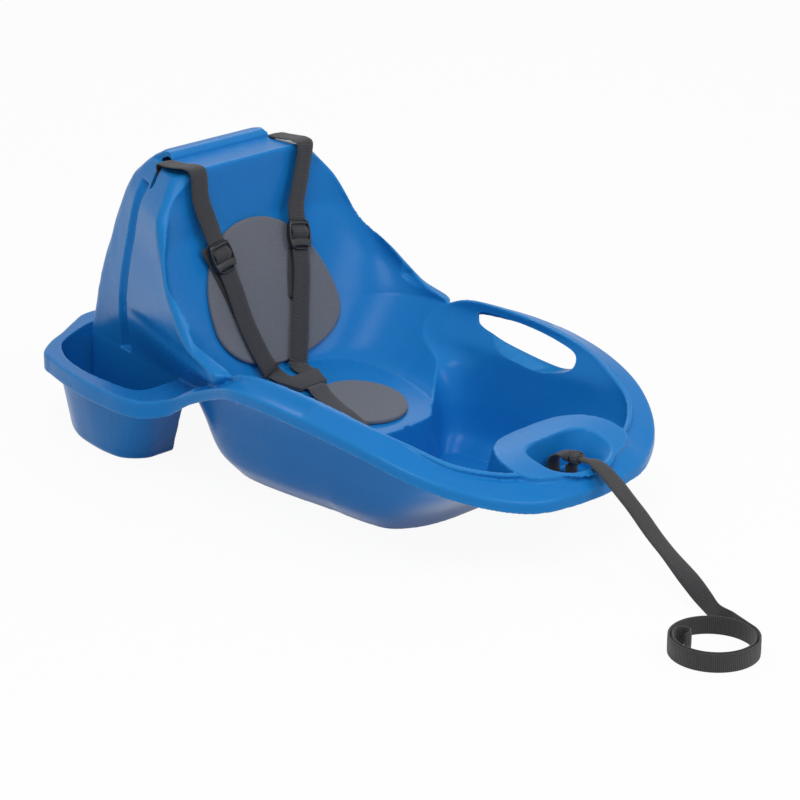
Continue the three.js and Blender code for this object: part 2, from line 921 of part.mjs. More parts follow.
const underConsoleTop = (drop) =>
  crossways(
    [
      new THREE.Vector2(0, CONSOLE_HEIGHT - drop),
      new THREE.Vector2(CONSOLE_BROW_SHARE * halfLength, CONSOLE_HEIGHT - drop),
      new THREE.Vector2(
        CONSOLE_NOSE_SHARE * halfLength,
        mix(CONSOLE_FRONT_HEIGHT, CONSOLE_HEIGHT, NOSE_MIX_SHARE) - drop,
      ),
      new THREE.Vector2(halfLength, CONSOLE_FRONT_HEIGHT - drop),
      new THREE.Vector2(LENGTH, CONSOLE_FRONT_HEIGHT - drop),
      new THREE.Vector2(LENGTH, -OVERRUN),
      new THREE.Vector2(0, -OVERRUN),
    ],
    WIDTH,
  );
const recessTool = (distance, drop) =>
  stack([
    [grow(consoleOutline(recessFloorShares), distance), recessFloor - drop],
    [grow(consoleOutline(recessTopShares), distance), CONSOLE_HEIGHT],
    [grow(consoleOutline(recessTopShares), distance), CONSOLE_HEIGHT + OVERRUN],
  ]);

// Slots before and behind the tow bar
const BAR_X_SHARE = 0.86;
const TOW_SLOT = 12;
const barX = BAR_X_SHARE * halfLength;
function towSlot(side) {
  const near = barX + (side * TOW_BAR) / 2;
  const far = near + side * TOW_SLOT;
  const reach = TOW_WEBBING_WIDTH / 2 + WALL / 2;
  return upright(
    [
      new THREE.Vector2(near, -reach),
      new THREE.Vector2(far, -reach),
      new THREE.Vector2(far, reach),
      new THREE.Vector2(near, reach),
    ],
    recessFloor - OVERRUN / 4,
    recessFloor + OVERRUN / 4,
  );
}

// The moulding: full forms joined, then the hollows above and below cut so that one wall is left
const seatCut = seatTool(0, 0);
const legCut = legTool(0, 0);
const seatSkin = seatTool(WALL, WALL);
const legSkin = legTool(WALL, -WALL);
const consoleHump = consoleBody(0).intersect(underConsoleTop(0));
// The console's edge carried straight down into the rim
const skirtShare = (SKIRT_HIGH - CONSOLE_FOOT_HEIGHT) / (CONSOLE_HEIGHT + OVERRUN / 4 - CONSOLE_FOOT_HEIGHT);
const skirtShares = consoleFootShares.map(([u, v], i) => [
  mix(u, consoleTopShares[i][0], skirtShare),
  mix(v, consoleTopShares[i][1], skirtShare),
]);
const consoleSkirt = upright(consoleOutline(skirtShares), SKIRT_LOW, SKIRT_HIGH).intersect(underConsoleTop(0));
const islandTop = hoodShares[1][0] * BACK_HEIGHT;
const island = islandTool(0, -OVERRUN, islandTop).intersect(behind(HOLLOW_FRONT_SHARE));
const hullSolid = hullTool(WALL, 0);
const bucketCut = bucketTool(0, WALL, BUCKET_HEIGHT + OVERRUN / 2).subtract(island).subtract(hoodTool(0));
const above = aboveRoll.add(shoulder(1, 0)).add(shoulder(-1, 0));
const lowered = aboveRoll
  .translate([0, 0, -WALL])
  .add(shoulder(1, WALL))
  .add(shoulder(-1, WALL));
const hood = hoodTool(0).subtract(above).subtract(flute(1, FLUTE_RADIUS)).subtract(flute(-1, FLUTE_RADIUS));
const hoodHollow = hoodTool(-WALL, -WALL / 2)
  .subtract(lowered)
  .add(islandTool(-WALL, -OVERRUN, islandTop).intersect(behind(HOLLOW_FRONT_SHARE)).subtract(hullSolid))
  .subtract(flute(1, FLUTE_RADIUS + WALL, WALL))
  .subtract(flute(-1, FLUTE_RADIUS + WALL, WALL))
  .subtract(seatSkin);
const hullHollow = stack([
  [hullOutlines[0], -OVERRUN],
  ...hullOutlines.map((outline, i) => [outline, i === 0 ? WALL : legHeights[i]]),
])
  .intersect(belowCrest.translate([0, 0, -WALL]))
  .subtract(legSkin)
  .subtract(seatSkin);
const consoleHollow = consoleBody(-WALL)
  .intersect(underConsoleTop(WALL))
  .add(upright(grow(consoleOutline(consoleFootShares), -WALL), -OVERRUN, CONSOLE_FOOT_HEIGHT));
const recess = recessTool(0, 0);
const recessSkin = recessTool(WALL, WALL).intersect(underConsoleTop(0)).subtract(recess);
let moulding = hullSolid
  .intersect(belowCrest)
  .add(hood)
  .add(deck)
  .add(rim)
  .add(bucketTool(WALL, 0, BUCKET_HEIGHT - WALL / 2));
moulding = moulding.subtract(legCut.subtract(consoleHump));
moulding = moulding.add(
  consoleHump.add(consoleSkirt).subtract(belowCrest.translate([0, 0, -HUMP_FOOT])),
);
moulding = moulding.subtract(seatCut).subtract(bucketCut).subtract(hoodHollow).subtract(hullHollow);
moulding = moulding.subtract(consoleHollow).subtract(recess).add(recessSkin);
for (const side of [-1, 1]) moulding = moulding.subtract(towSlot(side));
for (const side of [-1, 1]) {
  moulding = moulding.subtract(handleWindow(side)).subtract(slot(side));
}

// The back's surface at a side place and a height, and points standing off it
const BACK_EXPONENT = 2 / BACK_POWER_SHARE;
function backAt(y, z) {
  const rows = [
    [0, SEAT_REAR_SHARE, SEAT_SIDE_SHARE, SEAT_HALF_WIDTH / halfWidth],
    ...backShares,
  ];
  const at = (column) => along(rows.map((row) => [upBack(row[0]), row[column]]), z);
  const across = Math.min(Math.abs(y) / (at(3) * halfWidth), 1) ** BACK_EXPONENT;
  return mix(at(2), at(1), (1 - across) ** (1 / BACK_EXPONENT)) * halfLength;
}
function offBack(yShare, riseShare, standoff) {
  const y = yShare * halfWidth;
  const z = upBack(riseShare);
  return new THREE.Vector3(backAt(y, z) + standoff, y, z);
}

// Foam pads: an egg on the back and a round one on the seat, both cut from sheet and glued down
const BACK_PAD_TOP_SHARE = 0.666;
const BACK_PAD_WIDEST_SHARE = 0.246;
const BACK_PAD_FOOT_SHARE = 0.028;
const PAD_STEPS = 40;
const padWidest = upBack(BACK_PAD_WIDEST_SHARE);
const padTop = upBack(BACK_PAD_TOP_SHARE);
const padFoot = upBack(BACK_PAD_FOOT_SHARE);
const eggOutline = [];
for (let i = 0; i < PAD_STEPS; i += 1) {
  const angle = (2 * Math.PI * i) / PAD_STEPS;
  const reach = Math.sin(angle) > 0 ? padTop - padWidest : padWidest - padFoot;
  eggOutline.push([BACK_PAD_HALF_WIDTH * Math.cos(angle), padWidest + reach * Math.sin(angle)]);
}
const eggRing = (x) => eggOutline.map(([y, z]) => new THREE.Vector3(x, y, z));
const egg = skin([eggRing(-LENGTH / 2), eggRing(seatRearX / 2)]);
const backPad = egg
  .intersect(seatCut.translate([GAP, 0, 0]))
  .subtract(seatCut.translate([GAP + PAD_THICKNESS, 0, 0]));
const JOINT_FRONT_SHARE = -0.05;
const PAD_TO_JOINT = 8;
const seatPadX = JOINT_FRONT_SHARE * halfLength + PAD_TO_JOINT + SEAT_PAD_RADIUS;
const seatPadOutline = [];
for (let i = 0; i < PAD_STEPS; i += 1) {
  const angle = (2 * Math.PI * i) / PAD_STEPS;
  seatPadOutline.push(
    new THREE.Vector2(
      seatPadX + SEAT_PAD_RADIUS * Math.cos(angle),
      SEAT_PAD_RADIUS * Math.sin(angle),
    ),
  );
}
const seatPad = skin([
  level(seatPadOutline, (p) => seatHeight(p.x) + GAP),
  level(seatPadOutline, (p) => seatHeight(p.x) + GAP + PAD_THICKNESS),
]);

// A flat strap along a line of points; its width lies along a direction given at each share of the line
function ribbon(points, width, thickness, widthAt, steps) {
  const curve = new THREE.CatmullRomCurve3(points, false, "centripetal");
  const rings = [];
  for (let i = 0; i <= steps; i += 1) {
    const share = i / steps;
    const centre = curve.getPointAt(share);
    const tangent = curve.getTangentAt(share);
    const across = widthAt(share, tangent);
    across.addScaledVector(tangent, -across.dot(tangent)).normalize();
    const face = new THREE.Vector3().crossVectors(tangent, across);
    rings.push(
      [
        [1, 1],
        [-1, 1],
        [-1, -1],
        [1, -1],
      ].map(([u, v]) =>
        centre
          .clone()
          .addScaledVector(across, (u * width) / 2)
          .addScaledVector(face, (v * thickness) / 2),
      ),
    );
  }
  return skin(rings);
}
const sideways = () => new THREE.Vector3(0, 1, 0);

// Harness: each shoulder strap comes through its slot, over the lip, down the back and over the seat
const ADJUSTER_STANDOFF = 14;
const TAIL_STANDOFF = 8.2;
const SEAT_STANDOFF = 3;
const lipTop = LEDGE_HEIGHT + WEBBING;
const strapOverShares = [
  [-0.48, 1.02, -0.09],
  [-0.482, 1.02, -0.045],
  [-0.481, 1.02, -0.01],
  [-0.466, 1.018, 0.006],
  [-0.43, 1.015, 0.012],
  [-0.39, 0.985, 0.023],
  [-0.355, 0.96, 0.024],
  [-0.333, 0.95, 0.01],
];
// Side place, height and standoff of the strap's free fall, then the two ends of its straight stretch
const nearFallShares = [[-0.385, 0.821, 0.7]];
const nearStraightShares = [
  [-0.33, 0.677],
  [-0.275, 0.416],
];
const nearLowShares = [
  [-0.25, 0.258, 0.85],
  [-0.215, 0.12, 0.8],
  [-0.18, 0.035, 0.8],
];
const farFallShares = [[0.37, 0.821, 0.7]];
const farStraightShares = [
  [0.31, 0.677],
  [0.245, 0.416],
];
const farLowShares = [
  [0.175, 0.258, 0.85],
  [0.1, 0.12, 0.8],
  [0.05, 0.035, 0.72],
];
const nearSeatShares = [
  [-0.172, -0.16, 2.3],
  [-0.15, -0.15, 1.2],
  [-0.125, -0.15, 1],
];
const farSeatShares = [
  [-0.172, 0.035, 2.1],
  [-0.15, 0.03, 1.2],
  [-0.125, 0.03, 1],
];
const STRAP_STEPS = 44;
const STRAIGHT_STEPS = 4;
function overLip(side) {
  return strapOverShares.map(
    ([u, v, w]) => new THREE.Vector3(u * halfLength, side * v * slotY, lipTop + w * BACK_HEIGHT),
  );
}
const downBack = (shares) => shares.map(([v, w, off]) => offBack(v, w, off * ADJUSTER_STANDOFF));
function straight(shares) {
  const [top, foot] = shares.map(([v, w]) => offBack(v, w, ADJUSTER_STANDOFF));
  const line = [];
  for (let i = 0; i <= STRAIGHT_STEPS; i += 1) line.push(top.clone().lerp(foot, i / STRAIGHT_STEPS));
  return line;
}
const overSeat = (x, y, lift) => new THREE.Vector3(x, y, seatHeight(x) + lift);
function onSeat(shares) {
  return shares.map(([u, v, off]) => overSeat(u * halfLength, v * halfWidth, off * SEAT_STANDOFF));
}
function shoulderStrap(side, fall, straightShares, low, seat) {
  const line = [
    ...overLip(side),
    ...downBack(fall),
    ...straight(straightShares),
    ...downBack(low),
    ...onSeat(seat),
  ];
  return ribbon(line, WEBBING_WIDTH, WEBBING, sideways, STRAP_STEPS);
}
const nearStrap = shoulderStrap(-1, nearFallShares, nearStraightShares, nearLowShares, nearSeatShares);
const farStrap = shoulderStrap(1, farFallShares, farStraightShares, farLowShares, farSeatShares);

// Free tail of each strap, hanging behind the adjuster on the pad
const TAIL_OUT_SHARE = 0.03;
const tailShares = [
  [0, 0.608],
  [0.35, 0.519],
  [0.7, 0.409],
  [1, 0.285],
];
const TAIL_STEPS = 8;
function tail(straightShares, low) {
  const line = tailShares.map(([share, height]) => {
    const start = straightShares[0][0];
    const y = mix(start, low[0][0], share);
    return offBack(y + Math.sign(start) * TAIL_OUT_SHARE * (1 - share), height, TAIL_STANDOFF);
  });
  return ribbon(line, WEBBING_WIDTH, WEBBING, sideways, TAIL_STEPS);
}

// Strap adjusters: a frame and a middle bar before the webbing, two bars behind it, rails at its edges
const ADJUSTER_BAR = 6;
const ADJUSTER_FRONT = 2.5;
const ADJUSTER_RUN = 1.2;
const ADJUSTER_PLACE_SHARE = 0.46;
const ADJUSTER_CORNER = 7;
const railWidth = (ADJUSTER_WIDTH - WEBBING_WIDTH) / 2 - ADJUSTER_RUN;
function roundedBox(width, length, radius, middle = 0) {
  const shape = new THREE.Shape();
  const [x, y] = [width / 2, length / 2];
  shape.moveTo(x, middle - y + radius);
  shape.lineTo(x, middle + y - radius);
  shape.quadraticCurveTo(x, middle + y, x - radius, middle + y);
  shape.lineTo(radius - x, middle + y);
  shape.quadraticCurveTo(-x, middle + y, -x, middle + y - radius);
  shape.lineTo(-x, middle - y + radius);
  shape.quadraticCurveTo(-x, middle - y, radius - x, middle - y);
  shape.lineTo(x - radius, middle - y);
  shape.quadraticCurveTo(x, middle - y, x, middle - y + radius);
  return shape;
}
function slab(shape, low, high) {
  const geometry = new THREE.ExtrudeGeometry(shape, {
    depth: high - low,
    bevelEnabled: false,
    curveSegments: 4,
  });
  geometry.translate(0, 0, low);
  return solid(geometry);
}
const adjusterFrame = (() => {
  const half = ADJUSTER_THICKNESS / 2;
  const inner = ADJUSTER_WIDTH - 2 * railWidth;
  const opening = (ADJUSTER_LENGTH - 3 * ADJUSTER_BAR) / 2;
  const shift = (opening + ADJUSTER_BAR) / 2;
  const outline = roundedBox(ADJUSTER_WIDTH, ADJUSTER_LENGTH, ADJUSTER_CORNER);
  const channel = roundedBox(inner, ADJUSTER_LENGTH * 2, railWidth / 4);
  const windows = [-shift, shift].map((middle) => roundedBox(inner, opening, railWidth / 2, middle));
  let frame = slab(outline, -half, half);
  for (const opening of windows) frame = frame.subtract(slab(opening, 0, ADJUSTER_THICKNESS));
  const clear = WEBBING / 2 + GAP + WEBBING / 4;
  frame = frame.subtract(slab(channel, -clear, clear));
  const middleGap = roundedBox(inner, ADJUSTER_LENGTH - 2 * ADJUSTER_BAR, railWidth / 2);
  return frame.subtract(slab(middleGap, -ADJUSTER_THICKNESS, 0));
})();
function adjuster(straightShares) {
  const line = straight(straightShares);
  const [top, foot] = [line[0], line[line.length - 1]];
  const up = top.clone().sub(foot).normalize();
  const across = sideways().addScaledVector(up, -up.y).normalize();
  const face = new THREE.Vector3().crossVectors(across, up);
  const place = new THREE.Matrix4().makeBasis(across, up, face);
  place.setPosition(top.clone().lerp(foot, ADJUSTER_PLACE_SHARE));
  return adjusterFrame.transform(place.elements);
}

// Webbing between the slots inside the hood, the sewn joint on the seat and the lap strap's loose end
const bridgeX = strapOverShares[0][0] * halfLength;
const bridgeHalf = strapOverShares[0][1] * slotY - WEBBING_WIDTH / 2 - GAP;
const bridgeHeight = lipTop + strapOverShares[0][2] * BACK_HEIGHT + WEBBING_WIDTH / 2;
const vertical = () => new THREE.Vector3(0, 0, 1);
const strapBridge = ribbon(
  [-bridgeHalf, -bridgeHalf / 2, bridgeHalf / 2, bridgeHalf].map(
    (y) => new THREE.Vector3(bridgeX, y, bridgeHeight),
  ),
  WEBBING_WIDTH,
  WEBBING,
  vertical,
  4,
);
const jointShares = [
  [JOINT_FRONT_SHARE, -0.17],
  [JOINT_FRONT_SHARE, 0.03],
  [-0.1242, 0.095],
  [-0.1242, -0.215],
];
const JOINT_THICKNESS = 5;
const joint = skin(
  [GAP, GAP + JOINT_THICKNESS].map((lift) =>
    level(
      jointShares.map(([u, v]) => new THREE.Vector2(u * halfLength, v * halfWidth)),
      (p) => seatHeight(p.x) + lift,
    ),
  ),
);
const lapShares = [
  [-1.137, -0.095, 1],
  [-1.05, -0.095, 2],
  [-0.91, -0.105, 2.8],
  [-0.63, -0.14, 2.7],
  [0.01, -0.195, 2.6],
  [0.42, -0.22, 2.75],
  [0.715, -0.235, 2.3],
  [0.975, -0.245, 1.6],
];
const LAP_STEPS = 16;
const lapRoute = lapShares.map(([u, v, off]) =>
  overSeat(seatPadX + u * SEAT_PAD_RADIUS, v * halfWidth, off * SEAT_STANDOFF),
);
const lapStrap = ribbon(lapRoute, WEBBING_WIDTH, WEBBING, sideways, LAP_STEPS);

// Tow loop round the bar, its knot, the tow strap over the nose and its coil on the ground
const knotX = barX + TOW_BAR / 2 + TOW_SLOT - WALL / 2;
const knotZ = recessFloor + KNOT_RISE;
const knotShares = [
  [0.5, 0.25],
  [0.3, 0.5],
  [-0.3, 0.5],
  [-0.5, 0.25],
  [-0.5, -0.25],
  [-0.3, -0.5],
  [0.3, -0.5],
  [0.5, -0.25],
];
const knotSideShares = [
  [-0.5, 0.6],
  [-0.35, 1],
  [0.35, 1],
  [0.5, 0.6],
];
const knot = skin(
  knotSideShares.map(([v, size]) =>
    knotShares.map(
      ([u, w]) =>
        new THREE.Vector3(knotX + u * size * KNOT_LENGTH, v * KNOT_WIDTH, knotZ + w * size * KNOT_HEIGHT),
    ),
  ),
);
const slotFront = barX + TOW_BAR / 2 + TOW_SLOT / 2;
const slotRear = barX - TOW_BAR / 2 - TOW_SLOT / 2;
const underBar = recessFloor - WALL - TOW_WEBBING / 2 - GAP;
const knotFoot = knotZ - KNOT_HEIGHT / 2 - GAP;
const knotRear = knotX - KNOT_LENGTH / 2 - GAP;
const towLoopLine = [
  [slotFront, knotFoot],
  [slotFront, mix(knotFoot, recessFloor, 0.5)],
  [slotFront, recessFloor],
  [slotFront - TOW_BAR / 4, underBar],
  [barX, underBar - GAP],
  [slotRear + TOW_BAR / 4, underBar],
  [slotRear, recessFloor],
  [slotRear, knotFoot],
  [mix(slotRear, knotRear, 0.5), knotZ],
  [knotRear, knotZ],
].map(([x, z]) => new THREE.Vector3(x, 0, z));
const LOOP_STEPS = 26;
const towLoop = ribbon(towLoopLine, TOW_WEBBING_WIDTH, TOW_WEBBING, sideways, LOOP_STEPS);

const coilX = 638;
const coilY = -112;
const COIL_START = 78;
const COIL_TURNS = 1.64;
const COIL_STEPS = 28;
const coilLift = TOW_WEBBING_WIDTH / 2 + GAP / 2;
const coilLine = [];
const coilCount = Math.round(COIL_TURNS * COIL_STEPS);
for (let i = 0; i <= coilCount; i += 1) {
  const turn = (COIL_TURNS * i) / coilCount;
  const angle = THREE.MathUtils.degToRad(COIL_START) - 2 * Math.PI * turn;
  const reach = COIL_RADIUS - COIL_PITCH * turn;
  coilLine.push(
    new THREE.Vector3(coilX + reach * Math.cos(angle), coilY + reach * Math.sin(angle), coilLift),
  );
}
const coilHeading = coilLine[1].clone().sub(coilLine[0]).normalize();
const coilMouth = coilLine[0].clone().addScaledVector(coilHeading, -TOW_WEBBING_WIDTH);
const coilHook = [
  [601, -123],
  [606, -117],
  [613, -117],
  [617, -122],
  [617, -130],
].map(([x, y]) => new THREE.Vector3(x, y, coilLift));
const coilRoute = [coilMouth, ...coilLine, ...coilHook];
const towCoil = ribbon(coilRoute, TOW_WEBBING_WIDTH, TOW_WEBBING, vertical, coilRoute.length);
const apart = Math.round(COIL_STEPS / 3);
let coilGap = COIL_RADIUS;
for (let i = 0; i < coilRoute.length; i += 1) {
  for (let j = i + apart; j < coilRoute.length; j += 1) {
    const [a, b, c] = [coilRoute[i], coilRoute[j - 1], coilRoute[j]];
    const edge = c.clone().sub(b);
    const share = THREE.MathUtils.clamp(a.clone().sub(b).dot(edge) / edge.lengthSq(), 0, 1);
    const away = a.distanceTo(b.clone().addScaledVector(edge, share)) - TOW_WEBBING;
    coilGap = Math.min(coilGap, away);
  }
}
console.log("least gap of the tow coil to itself, mm:", coilGap.toFixed(2));

const towRoute = [
  new THREE.Vector3(knotX + KNOT_LENGTH / 2 + GAP, 0, knotZ),
  new THREE.Vector3(knotX + KNOT_LENGTH / 2 + KNOT_HEIGHT / 2, 0, knotZ),
  ...[
    [388, 0.5, 103],
    [402, -0.5, 99],
    [419, -4, 92],
    [441, -11, 83],
    [464, -17, 72],
    [495, -27, 57],
    [533, -38, 41],
    [560, -46, 30],
    [582, -52, 20],
    [600, -56, 12.5],
  ].map(([x, y, z]) => new THREE.Vector3(x, y, z)),
  coilMouth.clone().addScaledVector(coilHeading, -TOW_WEBBING_WIDTH / 2),
  coilMouth.clone().addScaledVector(coilHeading, -GAP),
];
const TOW_STEPS = 36;
const TWIST_START_SHARE = 0.55;
const TWIST_END_SHARE = 0.96;
const towStrap = ribbon(
  towRoute,
  TOW_WEBBING_WIDTH,
  TOW_WEBBING,
  (share, tangent) => {
    const roll = (Math.PI / 2) * THREE.MathUtils.smoothstep(share, TWIST_START_SHARE, TWIST_END_SHARE);
    const side = new THREE.Vector3(-tangent.y, tangent.x, 0).normalize();
    return side.multiplyScalar(Math.cos(roll)).add(vertical().multiplyScalar(Math.sin(roll)));
  },
  TOW_STEPS,
);

const finished = [
  ["sled_body", moulding.simplify(FINEST), blue],
  ["back_pad", backPad, foam],
  ["seat_pad", seatPad, foam],
  ["right_shoulder_strap", nearStrap, web],
  ["left_shoulder_strap", farStrap, web],
  ["right_strap_tail", tail(nearStraightShares, nearLowShares), web],
  ["left_strap_tail", tail(farStraightShares, farLowShares), web],
  ["right_adjuster", adjuster(nearStraightShares), acetal],
  ["left_adjuster", adjuster(farStraightShares), acetal],
  ["strap_bridge", strapBridge, web],
  ["strap_joint", joint, web],
  ["lap_strap", lapStrap, web],
  ["tow_loop", towLoop, web],
  ["tow_knot", knot, web],
  ["tow_strap", towStrap, web],
  ["tow_coil", towCoil, web],
];
const sled = new THREE.Group();
for (const [name, body, material] of finished) {
  const mesh = new THREE.Mesh(geometryOf(body), material);
  mesh.name = name;
  sled.add(mesh);
}
export default sled;
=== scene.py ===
import json
import math
import bpy
import numpy as np
from mathutils import Matrix, Vector
from mathutils.bvhtree import BVHTree

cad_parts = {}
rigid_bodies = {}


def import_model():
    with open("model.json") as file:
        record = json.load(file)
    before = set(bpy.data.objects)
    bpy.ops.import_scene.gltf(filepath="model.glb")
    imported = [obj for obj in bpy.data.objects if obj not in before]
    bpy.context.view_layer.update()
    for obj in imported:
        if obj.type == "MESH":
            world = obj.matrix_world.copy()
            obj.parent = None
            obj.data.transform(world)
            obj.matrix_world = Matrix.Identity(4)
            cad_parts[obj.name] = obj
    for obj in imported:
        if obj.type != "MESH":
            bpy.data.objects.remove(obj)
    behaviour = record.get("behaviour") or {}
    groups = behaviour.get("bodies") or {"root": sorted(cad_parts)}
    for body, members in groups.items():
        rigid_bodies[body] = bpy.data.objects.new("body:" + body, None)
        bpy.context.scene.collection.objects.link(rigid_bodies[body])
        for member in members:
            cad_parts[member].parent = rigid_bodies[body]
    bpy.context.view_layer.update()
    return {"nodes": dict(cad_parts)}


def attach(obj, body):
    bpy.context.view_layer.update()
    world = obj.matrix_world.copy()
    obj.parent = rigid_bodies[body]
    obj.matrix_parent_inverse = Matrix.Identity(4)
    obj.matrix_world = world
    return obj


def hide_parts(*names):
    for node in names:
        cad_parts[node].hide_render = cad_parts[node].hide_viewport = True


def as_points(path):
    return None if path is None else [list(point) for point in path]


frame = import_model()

# Sizes of the moulding in millimetres; a share of the length or the width is a share of half of it
LENGTH, WIDTH, BACK_HEIGHT = 805.0, 426.0, 352.0
HL, HW = LENGTH / 2, WIDTH / 2
HANDLE_HEIGHT, NOSE_HEIGHT, BUCKET_HEIGHT = 155.0, 80.0, 99.0
WALL, FLOOR_EDGE, SILL = 4.0, 22.0, 119.0
UNSEEN_WALL, UNDER_RIM = 5.5, 3.0
SEAT_REAR, SEAT_FRONT = 96.0, 71.0
LIP, BUCKET_LIP = 13.0, 21.0
CREST_RISE, CREST_INSET, RIM_WIDTH = 11.0, 24.0, 34.0
BAND, LEDGE, HOOD_HALF = 13.0, 341.0, 76.0
HANDLE_BAR, SLOT_LENGTH, SLOT_WIDTH, FLUTE = 13.0, 30.0, 9.0, 14.0
CONSOLE, RECESS, OVER = 117.0, 42.0, 60.0
TOP, UNDERGROUND = BACK_HEIGHT + OVER, -1.5 * OVER
MM, TINY = 0.001, 1e-4


# Camera, first of all
CAMERA_PLACE, CAMERA_TILT, CAMERA_TURN = (2.072, -2.074, 1.159), 69.7, 43.5
SENSOR, LENS, FARTHEST = 36.0, 120.7, 50.0


def placed(name, data):
    """A new object in the scene."""
    obj = bpy.data.objects.new(name, data)
    bpy.context.scene.collection.objects.link(obj)
    return obj


def make_camera():
    data = bpy.data.cameras.new("camera")
    camera = placed("camera", data)
    data.sensor_width, data.lens, data.clip_end = SENSOR, LENS, FARTHEST
    camera.location = CAMERA_PLACE
    camera.rotation_euler = (math.radians(CAMERA_TILT), 0, math.radians(CAMERA_TURN))
    bpy.context.scene.camera = camera


make_camera()


# Lines and outlines
def mix(first, second, share):
    return first + (second - first) * share


def cubic_between(start, end, leaving, arriving, share):
    """A cubic from start to end with its slopes at both ends."""
    cubic = 2 * start - 2 * end + leaving + arriving
    square = -3 * start + 3 * end - 2 * leaving - arriving
    return cubic * share**3 + square * share**2 + leaving * share + start


def spline(points, count):
    """Uniform Catmull-Rom through the points, count + 1 samples."""
    p = np.asarray(points, float)
    n = len(p)
    t = np.linspace(0, n - 1, count + 1)
    i = np.minimum(t.astype(int), n - 2)
    w = (t - i)[:, None]
    before, here = p[np.maximum(i - 1, 0)], p[i]
    after, beyond = p[i + 1], p[np.minimum(i + 2, n - 1)]
    return cubic_between(here, after, (after - before) / 2, (beyond - here) / 2, w)


def centripetal(points, count):
    """Centripetal Catmull-Rom through the points, count + 1 samples."""
    p = np.asarray(points, float)
    n = len(p)
    first, last = 2 * p[0] - p[1], 2 * p[-1] - p[-2]
    q = np.vstack([first, p, last])
    out = []
    for t in np.linspace(0, n - 1, count + 1):
        i = min(int(t), n - 2)
        a, b, c, d = q[i : i + 4]
        k0, k1, k2 = (max(np.sum((q[j + 1] - q[j]) ** 2) ** 0.25, TINY) for j in range(i, i + 3))
        leaving = ((b - a) / k0 - (c - a) / (k0 + k1) + (c - b) / k1) * k1
        arriving = ((c - b) / k1 - (d - b) / (k1 + k2) + (d - c) / k2) * k1
        out.append(cubic_between(b, c, leaving, arriving, t - i))
    return np.array(out)


def full_turn(count):
    """Evenly spaced angles of one turn."""
    return np.linspace(0, 2 * math.pi, count, endpoint=False)


def plan(shares):
    """Places in plan from shares of the half length and half width."""
    return np.asarray(shares, float) * [HL, HW]


def whole(half):
    """A half outline with its mirror image."""
    return np.vstack([half, half[-2:0:-1] * [1, -1]])


def grow(outline, distance):
    """A closed outline moved out by a distance."""
    ahead = np.roll(outline, -1, 0) - np.roll(outline, 1, 0)
    ahead /= np.linalg.norm(ahead, axis=1)[:, None]
    x, y = outline[:, 0], outline[:, 1]
    turn = 1 if np.sum(x * np.roll(y, -1) - y * np.roll(x, -1)) > 0 else -1
    return outline + distance * turn * np.c_[ahead[:, 1], -ahead[:, 0]]


def run_along(line):
    """The length of a line up to each of its points."""
    return np.r_[0, np.cumsum(np.linalg.norm(np.diff(line, axis=0), axis=1))]


def even(line, count):
    """A line resampled to equal steps of its length."""
    run = run_along(line)
    at = np.linspace(0, run[-1], count + 1)
    return np.stack([np.interp(at, run, line[:, k]) for k in range(line.shape[1])], 1)


def through(heights, rows, at):
    """Monotone cubic through rows of numbers at heights, sampled at other heights."""
    x, y, t = np.asarray(heights, float), np.asarray(rows, float), np.asarray(at, float)
    flat = y.reshape(len(x), -1)
    gap = np.diff(x)[:, None]
    rise = np.diff(flat, axis=0) / gap
    slope = np.zeros_like(flat)
    slope[0], slope[-1] = rise[0], rise[-1]
    below, above = 2 * gap[1:] + gap[:-1], gap[1:] + 2 * gap[:-1]
    with np.errstate(divide="ignore", invalid="ignore"):
        mean = (below + above) / (below / rise[:-1] + above / rise[1:])
    slope[1:-1] = np.where(rise[:-1] * rise[1:] > 0, mean, 0)
    i = np.clip(np.searchsorted(x, t, side="right") - 1, 0, len(x) - 2)
    s = ((t - x[i]) / gap[i, 0])[:, None]
    out = (
        (1 + 2 * s) * (1 - s) ** 2 * flat[i]
        + s * (1 - s) ** 2 * gap[i] * slope[i]
        + s * s * (3 - 2 * s) * flat[i + 1]
        + s * s * (s - 1) * gap[i] * slope[i + 1]
    )
    return out.reshape((len(t),) + y.shape[1:])


LONGEST_EASE = 0.45


def rounded(points, radii, steps=5, closed=True):
    """A line whose corners are each eased by their own radius."""
    p = np.asarray(points, float)
    n = len(p)
    out = []
    for i in range(n):
        if not closed and i in (0, n - 1):
            out.append(p[i])
            continue
        back, ahead = p[i - 1] - p[i], p[(i + 1) % n] - p[i]
        lb, la = np.linalg.norm(back), np.linalg.norm(ahead)
        reach = min(radii[i], LONGEST_EASE * lb, LONGEST_EASE * la)
        start, end = p[i] + back / lb * reach, p[i] + ahead / la * reach
        for t in np.linspace(0, 1, steps + 1):
            out.append(start * (1 - t) ** 2 + 2 * t * (1 - t) * p[i] + end * t * t)
    return np.array(out)


def level(outline, height):
    """An outline laid at a height, or over a surface given by x."""
    z = height(outline[:, 0]) if callable(height) else np.full(len(outline), float(height))
    return np.c_[outline, z]


# Closed bodies
def body(verts, faces, name="tool"):
    mesh = bpy.data.meshes.new(name)
    mesh.from_pydata([tuple(v) for v in verts], [], faces)
    mesh.update()
    return placed(name, mesh)


def signed_volume(v, faces):
    """Six times the space inside the faces, below zero where they are inside out."""
    return sum(np.sum(np.cross(v[f[1:-1]], v[f[2:]]) @ v[f[0]]) for f in faces)


